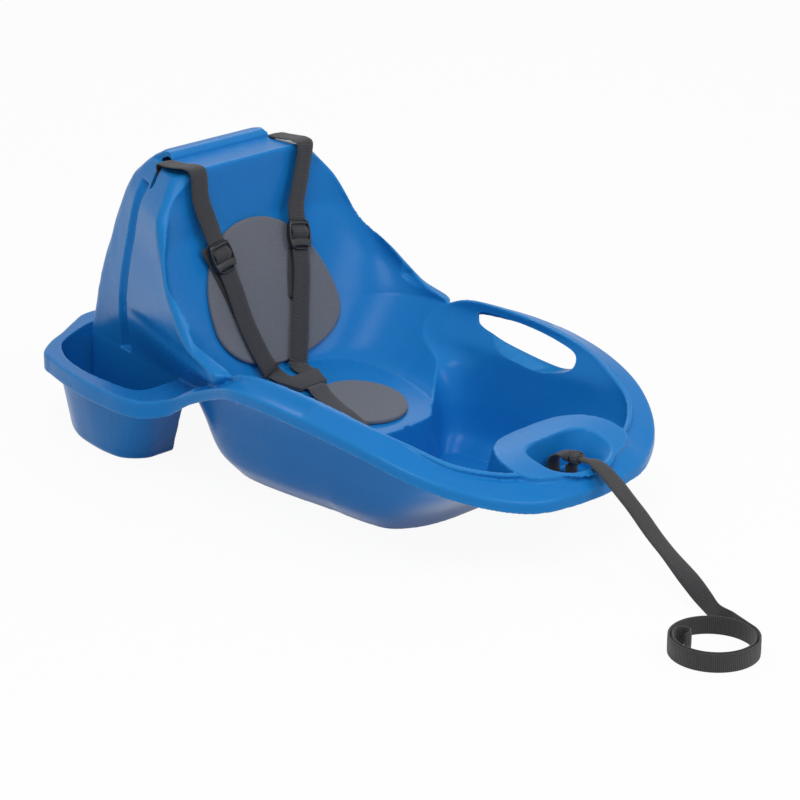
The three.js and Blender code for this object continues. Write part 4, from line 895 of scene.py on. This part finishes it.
def ribbon(points, width, thickness, across_at, step_mm=2.5, gather=None):
    """Webbing along a line; gather narrows it and crowns it by its run."""
    line = centripetal(points, (len(points) - 1) * 24)
    run = run_along(line)
    count = max(int(run[-1] / step_mm), 8)
    at, centre = np.linspace(0, run[-1], count + 1), even(line, count)
    tangent = np.gradient(centre, axis=0)
    tangent /= np.linalg.norm(tangent, axis=1)[:, None]
    w, h = width / 2, thickness / 2
    flat = np.array(WEB_FACE)
    top = np.c_[flat[:, 0] * (w - WEB_EDGE), flat[:, 1] * h]
    sides = np.array([(w, WEB_SIDE * h), (w, -WEB_SIDE * h)])
    section = np.vstack([top, sides, top[::-1] * [1, -1], sides[::-1] * [-1, 1]])
    rings, lay = [], []
    for i in range(count + 1):
        t = tangent[i]
        across = np.asarray(across_at(i / count, t), float)
        across = across - np.dot(across, t) * t
        across /= np.linalg.norm(across)
        face = np.cross(t, across)
        narrow = gather(at[i]) if gather else 1.0
        crown = (1 - narrow) * width * GATHERED_CROWN * (1 - (section[:, :1] / w) ** 2)
        rings.append(centre[i] + section[:, :1] * narrow * across + (section[:, 1:] + crown) * face)
        lay.append(np.c_[section, np.full(len(section), at[i])])
    for end in (0, -1):
        middle = rings[end].mean(0)
        rings[end] = middle + (rings[end] - middle) * WEB_END
    obj = skin(rings)
    mark_lay(obj, lay)
    return in_metres(obj), centre


# The tow strap
KNOT_LONG, KNOT_TALL, KNOT_UP = 18.0, 14.0, 27
knot_x = BAR_X + TOW_BAR / 2 + TOW_SLOT - WALL / 2
knot_z = RECESS_FLOOR_Z + KNOT_UP
TOW_LINE = [
    (knot_x + 9.4, 0, knot_z), (knot_x + 16, 0, knot_z), (388, 0.5, 103), (402, -0.5, 99),
    (419, -4, 92), (441, -11, 83), (464, -17, 72), (495, -27, 57), (533, -38, 41),
    (560, -46, 30), (582, -52, 20), (600, -56, 12.5),
]
FOLD_LINE = [(601, -123), (606, -117), (613, -117), (617, -122), (617, -130)]
COIL_X, COIL_Y, COIL_Z, COIL_RADIUS, COIL_PITCH = 638, -112, 10.2, 47.0, 4.2
COIL_TURNS, COIL_STEPS, COIL_START = 1.64, 28, math.radians(78)
TURN_UPRIGHT, TOW_NARROW, TOW_SPREAD = (0.55, 0.96), 0.55, (2, 30)


def tow_route():
    """From the knot over the nose to the ground, then round the coil to its folded end."""
    coil = []
    for t in np.linspace(0, COIL_TURNS, round(COIL_TURNS * COIL_STEPS) + 1):
        a, r = COIL_START - 2 * math.pi * t, COIL_RADIUS - COIL_PITCH * t
        coil.append((COIL_X + r * math.cos(a), COIL_Y + r * math.sin(a), COIL_Z))
    heading = np.subtract(coil[1], coil[0])
    heading /= np.linalg.norm(heading)
    lead = [np.subtract(coil[0], heading * reach) for reach in (30, 20)]
    fold = [(x, y, COIL_Z) for x, y in FOLD_LINE]
    return np.array([*TOW_LINE, *lead, *coil, *fold], float)


def make_tow():
    """The strap lies flat as far as the ground and turns on its edge before the coil."""
    route = tow_route()
    run = run_along(route)
    mouth = run[len(TOW_LINE) + 1] / run[-1]

    def across(share, tangent):
        roll = math.pi / 2 * step(share / mouth, *TURN_UPRIGHT)
        side = np.array([-tangent[1], tangent[0], 0])
        side /= np.linalg.norm(side)
        return side * math.cos(roll) + UPWARDS * math.sin(roll)

    def gather(run):
        return TOW_NARROW + (1 - TOW_NARROW) * step(run, *TOW_SPREAD)

    return ribbon(route, TOW_WIDTH, TOW_WEBBING, across, 1.6, gather)


tow, tow_line = make_tow()


# Finishes
class Value:
    """A socket of a finish, so that sums on it are written as sums."""

    def __init__(self, finish, socket):
        self.finish, self.socket = finish, socket

    def sum(self, operation, *terms):
        return self.finish.node("ShaderNodeMath", {"operation": operation}, terms)

    def __add__(self, other):
        return self.sum("ADD", self, other)

    __radd__ = __add__

    def __mul__(self, other):
        return self.sum("MULTIPLY", self, other)

    __rmul__ = __mul__

    def __sub__(self, other):
        return self.sum("SUBTRACT", self, other)

    def __rsub__(self, other):
        return self.sum("SUBTRACT", other, self)

    def output(self, which):
        """Another output of the same node."""
        return Value(self.finish, self.socket.node.outputs[which])


class Finish:
    """The nodes of a material or of the world."""

    def __init__(self, owner, end="ShaderNodeOutputMaterial"):
        owner.use_nodes = True
        self.owner, self.tree = owner, owner.node_tree
        self.tree.nodes.clear()
        self.end = self.tree.nodes.new(end)

    def node(self, kind, settings=None, inputs=(), out=0):
        """A node of a type, with its settings and the values or links of its sockets."""
        node = self.tree.nodes.new(kind)
        for key, setting in (settings or {}).items():
            setattr(node, key, setting)
        for key, value in inputs.items() if isinstance(inputs, dict) else enumerate(inputs):
            if isinstance(value, Value):
                self.tree.links.new(value.socket, node.inputs[key])
            else:
                node.inputs[key].default_value = value
        return Value(self, node.outputs[out])

    def mix(self, share, first, second):
        return self.node("ShaderNodeMix", {"data_type": "RGBA"}, {0: share, 6: first, 7: second}, 2)

    def noise(self, place, scale, detail):
        return self.node("ShaderNodeTexNoise", {}, {"Vector": place, "Scale": scale, "Detail": detail})

    def place(self):
        return self.node("ShaderNodeTexCoord").output("Object")

    def bump(self, height, strength, distance):
        return self.node("ShaderNodeBump", {}, {"Height": height, "Strength": strength, "Distance": distance})

    def surface(self, shader):
        self.tree.links.new(shader.socket, self.end.inputs["Surface"])
        return self.owner

    def coated(self, inputs):
        """The finish of the usual shader with these inputs."""
        return self.surface(self.node("ShaderNodeBsdfPrincipled", {}, inputs))


def material(name):
    return Finish(bpy.data.materials.new(name))


def plain(red, green, blue):
    """A colour written as on the screen, from 0 to 255."""
    return (*(((c / 255 + 0.055) / 1.055) ** 2.4 for c in (red, green, blue)), 1.0)


def moulded_plastic():
    f = material("blue_moulded_plastic")
    place = f.place()
    cloud = f.noise(place, 6.0, 2.0)
    wave = f.noise(place, 30.0, 1.0)
    # Convex edges are painted a lighter cyan: a painted highlight along the shell's edges, not wear.
    edge_highlight = f.node("ShaderNodeAttribute", {"attribute_name": "edge"}, {}, 2)
    colour = f.mix(cloud, plain(22, 119, 193), plain(28, 127, 203))
    colour = f.mix(edge_highlight * 0.3, colour, plain(70, 165, 226))
    rough = 0.22 + cloud * 0.06 + wave * 0.05
    normal = f.bump(wave, 0.03, 0.002)
    return f.coated({
        "Base Color": colour, "Roughness": rough, "Normal": normal, "Specular IOR Level": 0.13,
    })


def foam():
    f = material("grey_closed_cell_foam")
    place = f.place()
    speck = f.noise(place, 900.0, 2.0)
    cloud = f.noise(place, 14.0, 2.0)
    colour = f.mix(speck, plain(80, 84, 94), plain(124, 128, 138))
    colour = f.mix(cloud * 0.3, colour, plain(96, 96, 102))
    cells = f.node("ShaderNodeTexVoronoi", {}, {"Vector": place, "Scale": 700.0})
    normal = f.bump(cells, 0.35, 0.0006)
    return f.coated({
        "Base Color": colour, "Roughness": 0.9 + speck * 0.08, "Normal": normal, "Sheen Weight": 0.15,
    })


YARN_PITCH, YARN_SLANT = 0.9, 2.2


def webbing(name, pitch, dark, light):
    """Ribs across the webbing's run and fine yarns on a slant."""
    f = material(name)
    lay = f.node("ShaderNodeAttribute", {"attribute_name": "lay"}, {}, 1)
    across = f.node("ShaderNodeSeparateXYZ", {}, [lay])
    run = across.output("Z")
    ribs = run.sum("SINE", run * (2 * math.pi / pitch)) * 0.5 + 0.5
    yarn = run.sum("SINE", across * (2 * math.pi / YARN_PITCH) + run * YARN_SLANT) * 0.5 + 0.5
    fuzz = f.noise(f.place(), 1500.0, 2.0)
    height = ribs * 0.7 + yarn * 0.2 + fuzz * 0.15
    colour = f.mix(height * 0.8 + fuzz * 0.2, dark, light)
    normal = f.bump(height, 0.7, 0.0007)
    return f.coated({
        "Base Color": colour, "Roughness": 0.92 - ribs * 0.16, "Normal": normal, "Sheen Weight": 0.2,
    })


def black_acetal():
    f = material("black_acetal")
    place = f.place()
    cloud = f.noise(place, 60.0, 2.0)
    grain = f.noise(place, 1800.0, 2.0)
    colour = f.mix(cloud, plain(20, 21, 24), plain(34, 35, 39))
    normal = f.bump(grain, 0.12, 0.0003)
    return f.coated({
        "Base Color": colour, "Roughness": 0.3 + grain * 0.12, "Normal": normal, "Coat Weight": 0.15,
    })


plastic, grey_foam, acetal = moulded_plastic(), foam(), black_acetal()
harness_web = webbing("black_harness_webbing", 2.3, plain(20, 20, 23), plain(66, 66, 70))
tow_web = webbing("black_tow_webbing", 2.0, plain(26, 26, 28), plain(68, 67, 70))

finished(tow, "tow_strap_and_coil", tow_web, "sled", "tow_strap", "tow_coil")
tow_length = float(run_along(tow_line)[-1]) * MM


# The shell
NET, SOFT_ROUNDS, SOFT_SHARE = 1.45, 16, 0.5
# The bend at which an edge's painted highlight is full, and how often that mark is spread to its neighbours.
HIGHLIGHT_BEND, HIGHLIGHT_ROUNDS, SHARP_FROM = 0.22, 3, 38


def make_shell():
    """The moulding with softened surfaces, its windows and slots then cut crisp."""
    shell = even_mesh(moulding(), NET)
    put_points(shell, relaxed(points_of(shell), edges_of(shell), SOFT_ROUNDS, SOFT_SHARE))
    cut(shell, *both(tow_slot), *both(handle_window), *both(slot))
    v, e = points_of(shell), edges_of(shell)
    count = neighbours(v, e)
    normals = np.zeros(len(v) * 3, np.float32)
    shell.data.vertices.foreach_get("normal", normals)
    # How convex each point is, kept as "edge" for the painted highlight on the convex edges.
    bend = np.sum((v - mean_of_neighbours(v, e, count)) * normals.reshape(-1, 3), 1)
    for _ in range(HIGHLIGHT_ROUNDS):
        bend = 0.5 * bend + 0.5 * mean_of_neighbours(bend[:, None], e, count)[:, 0]
    mark(shell, "edge", "FLOAT", "value", np.clip(bend / HIGHLIGHT_BEND, 0, 1))
    in_metres(shell)
    shell.data.set_sharp_from_angle(angle=math.radians(SHARP_FROM))
    return shell


before = set(bpy.data.objects)
shell = make_shell()
for made in [o for o in bpy.data.objects if o not in before and o != shell]:
    bpy.data.objects.remove(made)
finished(shell, "moulded_shell", plastic, "sled", "sled_body")
shell_tree = BVHTree.FromObject(shell, bpy.context.evaluated_depsgraph_get())
TOUCH_REACH = 400.0


def touch(origin, direction, otherwise):
    """Where a line from a place first meets the shell and the normal there, or else another place."""
    start, ahead = Vector(np.asarray(origin) * MM), Vector(direction)
    place, normal, _, _ = shell_tree.ray_cast(start, ahead, TOUCH_REACH * MM)
    if place is None:
        return np.array(otherwise), -np.array(direction)
    return np.array(place) / MM, np.array(normal)


# Foam pads
def up_back(share):
    """A height on the back, as a share of its height over the seat."""
    return mix(SEAT_REAR, BACK_HEIGHT, share)


FOAM, GLUE, FOAM_RINGS, FOAM_AROUND = 5.0, 0.4, 26, 96
FOAM_EDGE = [(0.978, 0.985), (0.99, 0.9), (0.998, 0.7), (1.0, 0.45), (0.999, 0.2), (0.992, 0.03), (0.9, 0.0)]


def foam_sheet(outline_at, cast):
    """A sheet cut to an outline and laid on the shell, with softly rounded edges."""
    layers = [(share, 1.0) for share in np.linspace(0.04, 0.96, FOAM_RINGS)] + FOAM_EDGE
    spots = [
        (outline_at(angle, share), up) for share, up in layers
        for angle in full_turn(FOAM_AROUND)
    ]
    spots.append((outline_at(0, 0), 1.0))
    verts = []
    for spot, up in spots:
        place, normal = cast(*spot)
        verts.append(place + normal * (GLUE + FOAM * up))
    j = np.arange(FOAM_AROUND)
    k = (j + 1) % FOAM_AROUND
    faces = np.stack([np.full(FOAM_AROUND, len(verts) - 1), j, k], 1).tolist()
    for i in range(len(layers) - 1):
        inner, outer = i * FOAM_AROUND, (i + 1) * FOAM_AROUND
        faces += np.stack([inner + j, outer + j, outer + k, inner + k], 1).tolist()
    faces.append(((len(layers) - 1) * FOAM_AROUND + j).tolist())
    obj = body(verts, faces)
    put_points(obj, relaxed(points_of(obj), edges_of(obj), 2, 0.4))
    return in_metres(obj)


PAD_WIDE, PAD_TOP, PAD_FOOT, PAD_HALF = up_back(0.246), up_back(0.666), up_back(0.028), 100.0
PAD_RADIUS = 0.134 * HL
PAD_X = -0.05 * HL + 8 + PAD_RADIUS


def egg(angle, share):
    reach = PAD_TOP - PAD_WIDE if math.sin(angle) > 0 else PAD_WIDE - PAD_FOOT
    return PAD_HALF * share * math.cos(angle), PAD_WIDE + share * reach * math.sin(angle)


def disc(angle, share):
    return PAD_X + PAD_RADIUS * share * math.cos(angle), PAD_RADIUS * share * math.sin(angle)


def onto_back(y, z):
    return touch((60.0, y, z), -LENGTHWAYS, (-100.0, y, z))


def onto_seat(x, y):
    return touch((x, y, 200.0), -UPWARDS, (x, y, 85.0))


for name, outline, cast, solid in (
    ("back_pad_foam", egg, onto_back, "back_pad"), ("seat_pad_foam", disc, onto_seat, "seat_pad"),
):
    pad = finished(foam_sheet(outline, cast), name, grey_foam, "sled", solid)


# The harness
ADJUSTER_OFF, TAIL_OFF, SEAT_OFF = 14.0, 8.2, 3.0
LIP_TOP, IN_SLOT, SPREAD = LEDGE + WEBBING, 0.66, (20, 46)


def back_at(y, z):
    """The back's place along the sled, at a distance from its middle and a height."""
    foot = (float(seat_height(SEAT_REAR_X)) / BACK_HEIGHT, -0.191, 0.052, SEAT_HALF / HW)
    rows = np.array([foot] + BACK)
    rear, side_x, side_y = (np.interp(z / BACK_HEIGHT, rows[:, 0], rows[:, k]) for k in (1, 2, 3))
    exponent = 2 / POWER
    across = min(abs(y) / (side_y * HW), 1) ** exponent
    return mix(side_x, rear, (1 - across) ** (1 / exponent)) * HL


def off_back(y_share, z_share, off):
    y, z = y_share * HW, up_back(z_share)
    return (back_at(y, z) + off, y, z)


def over_seat(x, y, lift):
    return (x, y, float(seat_height(x)) + lift)


OVER_LIP = [
    (-0.48, 0.95, -0.09), (-0.482, 0.95, -0.045), (-0.481, 0.955, -0.014), (-0.468, 0.965, 0),
    (-0.43, 0.985, 0.002), (-0.39, 0.985, 0.005), (-0.355, 0.965, 0.008), (-0.331, 0.955, 0),
]
STRAPS = {
    "right": dict(
        side=-1, fall=[(-0.385, 0.821, 0.7)], straight=[(-0.33, 0.677), (-0.275, 0.416)],
        low=[(-0.25, 0.258, 0.85), (-0.215, 0.12, 0.8), (-0.18, 0.035, 0.8)],
        seat=[(-0.172, -0.16, 2.3), (-0.15, -0.15, 1.2), (-0.125, -0.15, 1)],
    ),
    "left": dict(
        side=1, fall=[(0.37, 0.821, 0.7)], straight=[(0.31, 0.677), (0.245, 0.416)],
        low=[(0.175, 0.258, 0.85), (0.1, 0.12, 0.8), (0.05, 0.035, 0.72)],
        seat=[(-0.172, 0.035, 2.1), (-0.15, 0.03, 1.2), (-0.125, 0.03, 1)],
    ),
}
TAIL_LINE, TAIL_LEAN = [(0, 0.608), (0.35, 0.519), (0.7, 0.409), (1, 0.285)], 0.03


def pinched_in_slot(run):
    return mix(IN_SLOT, 1, step(run, *SPREAD))


def straight_of(strap):
    """Both ends of the straight stretch that an adjuster slides on."""
    return [np.array(off_back(v, w, ADJUSTER_OFF)) for v, w in strap["straight"]]


def harness_piece(name, solid, line, across=SIDEWAYS, gather=None):
    piece, _ = ribbon(line, WEBBING_WIDTH, WEBBING, always(across), gather=gather)
    finished(piece, name, harness_web, "sled", solid)


for hand, strap in STRAPS.items():
    line = [(u * HL, strap["side"] * v * SLOT_Y, LIP_TOP + w * BACK_HEIGHT) for u, v, w in OVER_LIP]
    line += [off_back(v, w, off * ADJUSTER_OFF) for v, w, off in strap["fall"]]
    line += [tuple(mix(*straight_of(strap), share)) for share in np.linspace(0, 1, 5)]
    line += [off_back(v, w, off * ADJUSTER_OFF) for v, w, off in strap["low"]]
    line += [over_seat(u * HL, v * HW, off * SEAT_OFF) for u, v, off in strap["seat"]]
    harness_piece(f"{hand}_shoulder_webbing", f"{hand}_shoulder_strap", line, gather=pinched_in_slot)
    start, end = strap["straight"][0][0], strap["low"][0][0]
    line = [
        off_back(mix(start, end, share) + math.copysign(TAIL_LEAN * (1 - share), start), height, TAIL_OFF)
        for share, height in TAIL_LINE
    ]
    harness_piece(f"{hand}_tail_webbing", f"{hand}_strap_tail", line)

slot_u, slot_v, slot_w = OVER_LIP[0]
bridge_half = slot_v * SLOT_Y - IN_SLOT * WEBBING_WIDTH / 2 - GLUE
bridge_x, bridge_z = slot_u * HL, LIP_TOP + slot_w * BACK_HEIGHT + WEBBING_WIDTH / 2
bridge_line = [(bridge_x, y, bridge_z) for y in np.linspace(-bridge_half, bridge_half, 5)]
harness_piece("bridge_webbing", "strap_bridge", bridge_line, UPWARDS)
LAP = [
    (-1.137, -0.095, 1), (-1.05, -0.095, 2), (-0.91, -0.105, 2.8), (-0.63, -0.14, 2.7),
    (0.01, -0.195, 2.6), (0.42, -0.22, 2.75), (0.715, -0.235, 2.3), (0.975, -0.245, 1.6),
]
lap_line = [over_seat(PAD_X + u * PAD_RADIUS, v * HW, off * SEAT_OFF) for u, v, off in LAP]
harness_piece("lap_webbing", "lap_strap", lap_line)


# The adjusters
LOCK_WIDTH, LOCK_LENGTH, LOCK_PLACE = 34.0, 38.0, 0.46
LOCK_CORNER, LOCK_BOW, LOCK_INSET, LOCK_RIM, LOCK_DEEP = 0.42, 0.12, 1.7, 1.6, 3.7
BAR_INSET, BAR_TAPER, BAR_LIFT = 2.6, 0.25, 1.9
LOCK_BARS = [(14.2, 2.4, 1.7, 0.8), (-9.4, 5.2, 2.4, 1.4)]
LOCK_FOLD = [(11, 0.4), (7.6, 1.6), (5.4, 3.4), (2.2, 4.3), (-1.0, 3.4), (-3.4, 1.4), (-5.0, 0.2)]


def superellipse(angle, power):
    c, s = math.cos(angle), math.sin(angle)
    return math.copysign(abs(c) ** power, c), math.copysign(abs(s) ** power, s)


def lock_frame(strap):
    """The place of an adjuster and its own across, up and face directions."""
    top, foot = straight_of(strap)
    up = (top - foot) / np.linalg.norm(top - foot)
    across = SIDEWAYS - up * up[1]
    across /= np.linalg.norm(across)
    return mix(top, foot, LOCK_PLACE), np.array([across, up, np.cross(across, up)])


def settled(rings, place, axes, joined=False):
    return skin(place + np.asarray(rings, float) @ axes, joined)


def one_piece(parts):
    """Several closed bodies as one object, with the way their webbing lies."""
    verts, faces, lays = [], [], []
    for part in parts:
        base = len(verts)
        verts += [v.co.copy() for v in part.data.vertices]
        faces += [[base + i for i in p.vertices] for p in part.data.polygons]
        lay = part.data.attributes.get("lay")
        lays += [tuple(d.vector) for d in lay.data] if lay else [(0, 0, 0)] * (len(verts) - base)
        bpy.data.objects.remove(part)
    obj = body(verts, faces)
    mark_lay(obj, lays)
    return shaded(obj)


def barrel_rim(place, axes):
    """The adjuster's bowed outer rim, a flattened tube round its opening."""
    rings = []
    turns = full_turn(20)
    tube = np.c_[np.cos(turns), LOCK_DEEP * np.sin(turns)]
    for a in full_turn(96):
        u, v = superellipse(a, LOCK_CORNER)
        bow = 1 - LOCK_BOW * v * v
        wide, long = LOCK_WIDTH / 2 - LOCK_INSET, LOCK_LENGTH / 2 - LOCK_INSET
        middle = np.array([u * bow * wide, v * long, 0.0])
        out = np.array([u * LOCK_LENGTH, v * LOCK_WIDTH, 0.0])
        out /= np.linalg.norm(out)
        rings.append(middle + LOCK_RIM * tube[:, :1] * out + tube[:, 1:] * UPWARDS)
    return settled(rings, place, axes, True)


def lock_bar(place, axes, height, tall, deep, arch):
    """A bar across the adjuster with a full, rounded front that arches over its run."""
    rings = []
    half = LOCK_WIDTH / 2 - BAR_INSET
    turns = full_turn(24)
    for share in np.linspace(-1, 1, 25):
        y, swell = height - arch * share * share, 1 - BAR_TAPER * share * share
        round_it = y + tall * np.cos(turns), BAR_LIFT + deep * swell * np.sin(turns)
        rings.append(np.c_[np.full(24, share * half), round_it[0], round_it[1]])
    return settled(rings, place, axes)


def ladder_lock(hand, strap):
    place, axes = lock_frame(strap)
    bars = [lock_bar(place, axes, *bar) for bar in LOCK_BARS]
    lock = in_metres(one_piece([barrel_rim(place, axes), *bars]))
    finished(lock, f"{hand}_ladder_lock", acetal, f"{hand}_adjuster", f"{hand}_adjuster")
    line = [place + np.array([0, y, z]) @ axes for y, z in LOCK_FOLD]
    web, _ = ribbon(line, WEBBING_WIDTH, WEBBING, always(axes[0]), 1.0)
    finished(web, f"{hand}_webbing_over_bar", harness_web, f"{hand}_adjuster")


for hand, strap in STRAPS.items():
    ladder_lock(hand, strap)


# The sewn joint, the knot and the tow loop
def sewn_joint():
    """The strap joint's own form with its edges eased, its ribs lying along the sled."""
    obj = copy(frame["nodes"]["strap_joint"])
    weld = obj.modifiers.new("weld", "WELD")
    weld.merge_threshold = 0.00002
    flat = obj.modifiers.new("flat", "DECIMATE")
    flat.decimate_type, flat.angle_limit = "DISSOLVE", math.radians(2)
    bevel = obj.modifiers.new("bevel", "BEVEL")
    bevel.width, bevel.segments, bevel.limit_method = 0.0008, 3, "ANGLE"
    bevel.angle_limit = math.radians(25)
    evaluated(obj)
    x, y, z = points_of(obj).T / MM
    mark_lay(obj, np.c_[y, z, x])
    return finished(shaded(obj), "sewn_joint", harness_web, "sled", "strap_joint")


sewn_joint()
KNOT_WRAPS = [
    (9.6, 5.0, 14, 10, 8.5, -3.2), (9.0, 5.4, -16, -8, 8.5, 3.0), (7.4, 6.2, 32, 0, 6.5, 0.2),
]
CORE_LINE, CORE_WIDTH, CORE_TALL = (-8.8, -4, 0, 4, 9), 14, 8.0


def knot_wrap(wide, tall, turn, lean, width, shift):
    """One turn of webbing round the knot, leaning to a side."""
    points = []
    for a in np.linspace(0, 2 * math.pi, 17):
        y, z = wide * math.cos(a), tall * math.sin(a)
        x = shift + y * math.tan(math.radians(turn)) + z * math.tan(math.radians(lean))
        points.append((knot_x + x, y, knot_z + z))
    return ribbon(points, width, TOW_WEBBING, always(LENGTHWAYS), 1.2)[0]


def make_knot():
    wraps = [knot_wrap(*wrap) for wrap in KNOT_WRAPS]
    line = [(knot_x + x, 0, knot_z) for x in CORE_LINE]
    core, _ = ribbon(line, CORE_WIDTH, CORE_TALL, always(SIDEWAYS), 1.5)
    return finished(one_piece([core, *wraps]), "webbing_knot", tow_web, "sled", "tow_knot")


knot = make_knot()
front, rear = BAR_X + TOW_BAR / 2 + TOW_SLOT / 2, BAR_X - TOW_BAR / 2 - TOW_SLOT / 2
knot_foot, knot_rear = knot_z - KNOT_TALL / 2 - GLUE, knot_x - KNOT_LONG / 2 - GLUE
under_bar = RECESS_FLOOR_Z - WALL - TOW_WEBBING / 2 - GLUE
loop_line = [
    (front, knot_foot), (front, mix(knot_foot, RECESS_FLOOR_Z, 0.5)), (front, RECESS_FLOOR_Z),
    (front - TOW_BAR / 4, under_bar), (BAR_X, under_bar - GLUE), (rear + TOW_BAR / 4, under_bar),
    (rear, RECESS_FLOOR_Z), (rear, knot_foot), (mix(rear, knot_rear, 0.5), knot_z), (knot_rear, knot_z),
]
loop_line = [(x, 0, z) for x, z in loop_line]
loop, _ = ribbon(loop_line, TOW_WIDTH, TOW_WEBBING, always(SIDEWAYS), 1.5)
finished(loop, "tow_loop_webbing", tow_web, "sled", "tow_loop")
tow_line[0] * MM
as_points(tow_line * MM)


# The studio
LAMPS = [
    ("key", (0.9, -1.3, 2.8), 1.6, 36), ("fill", (2.4, 0.6, 1.9), 1.4, 19),
    ("back", (-1.5, 1.8, 2.2), 1.5, 12),
]
LAMP_AIM, FLOOR_HALF, FLOOR_WHITE, WORLD_LIGHT = Vector((0.0, 0.0, 0.15)), 6, 0.94, 0.5


def seen(f):
    """1 for what the camera sees, also in a gloss or through a clear piece, and 0 for other light."""
    path = f.node("ShaderNodeLightPath")
    straight, glossy = path.output("Is Camera Ray"), path.output("Is Glossy Ray")
    share = path.sum("MAXIMUM", straight, glossy)
    return path.sum("MAXIMUM", share, path.output("Is Transmission Ray"))


def make_studio():
    f = material("pale_floor")
    matt = f.node("ShaderNodeBsdfDiffuse", {}, {"Color": (0.86, 0.86, 0.86, 1)})
    white = f.node("ShaderNodeEmission", {}, {"Color": (1, 1, 1, 1), "Strength": 1.0})
    pale = f.surface(f.node("ShaderNodeMixShader", {}, [seen(f) * FLOOR_WHITE, matt, white]))
    corners = [(x * FLOOR_HALF, y * FLOOR_HALF, 0) for x, y in ((-1, -1), (1, -1), (1, 1), (-1, 1))]
    floor = body(corners, [(0, 1, 2, 3)], "floor")
    floor.data.materials.append(pale)
    world = bpy.data.worlds.new("studio")
    bpy.context.scene.world = world
    f = Finish(world, "ShaderNodeOutputWorld")
    light = {"Value": seen(f), "To Min": WORLD_LIGHT, "To Max": 1.0}
    f.surface(f.node("ShaderNodeBackground", {}, {"Strength": f.node("ShaderNodeMapRange", {}, light)}))
    for name, place, size, power in LAMPS:
        data = bpy.data.lights.new(name, "AREA")
        data.shape, data.size, data.energy = "DISK", size, power
        lamp = placed(name, data)
        lamp.location = place
        lamp.rotation_euler = (LAMP_AIM - Vector(place)).to_track_quat("-Z", "Y").to_euler()


make_studio()
bpy.context.scene.view_settings.view_transform = "Standard"
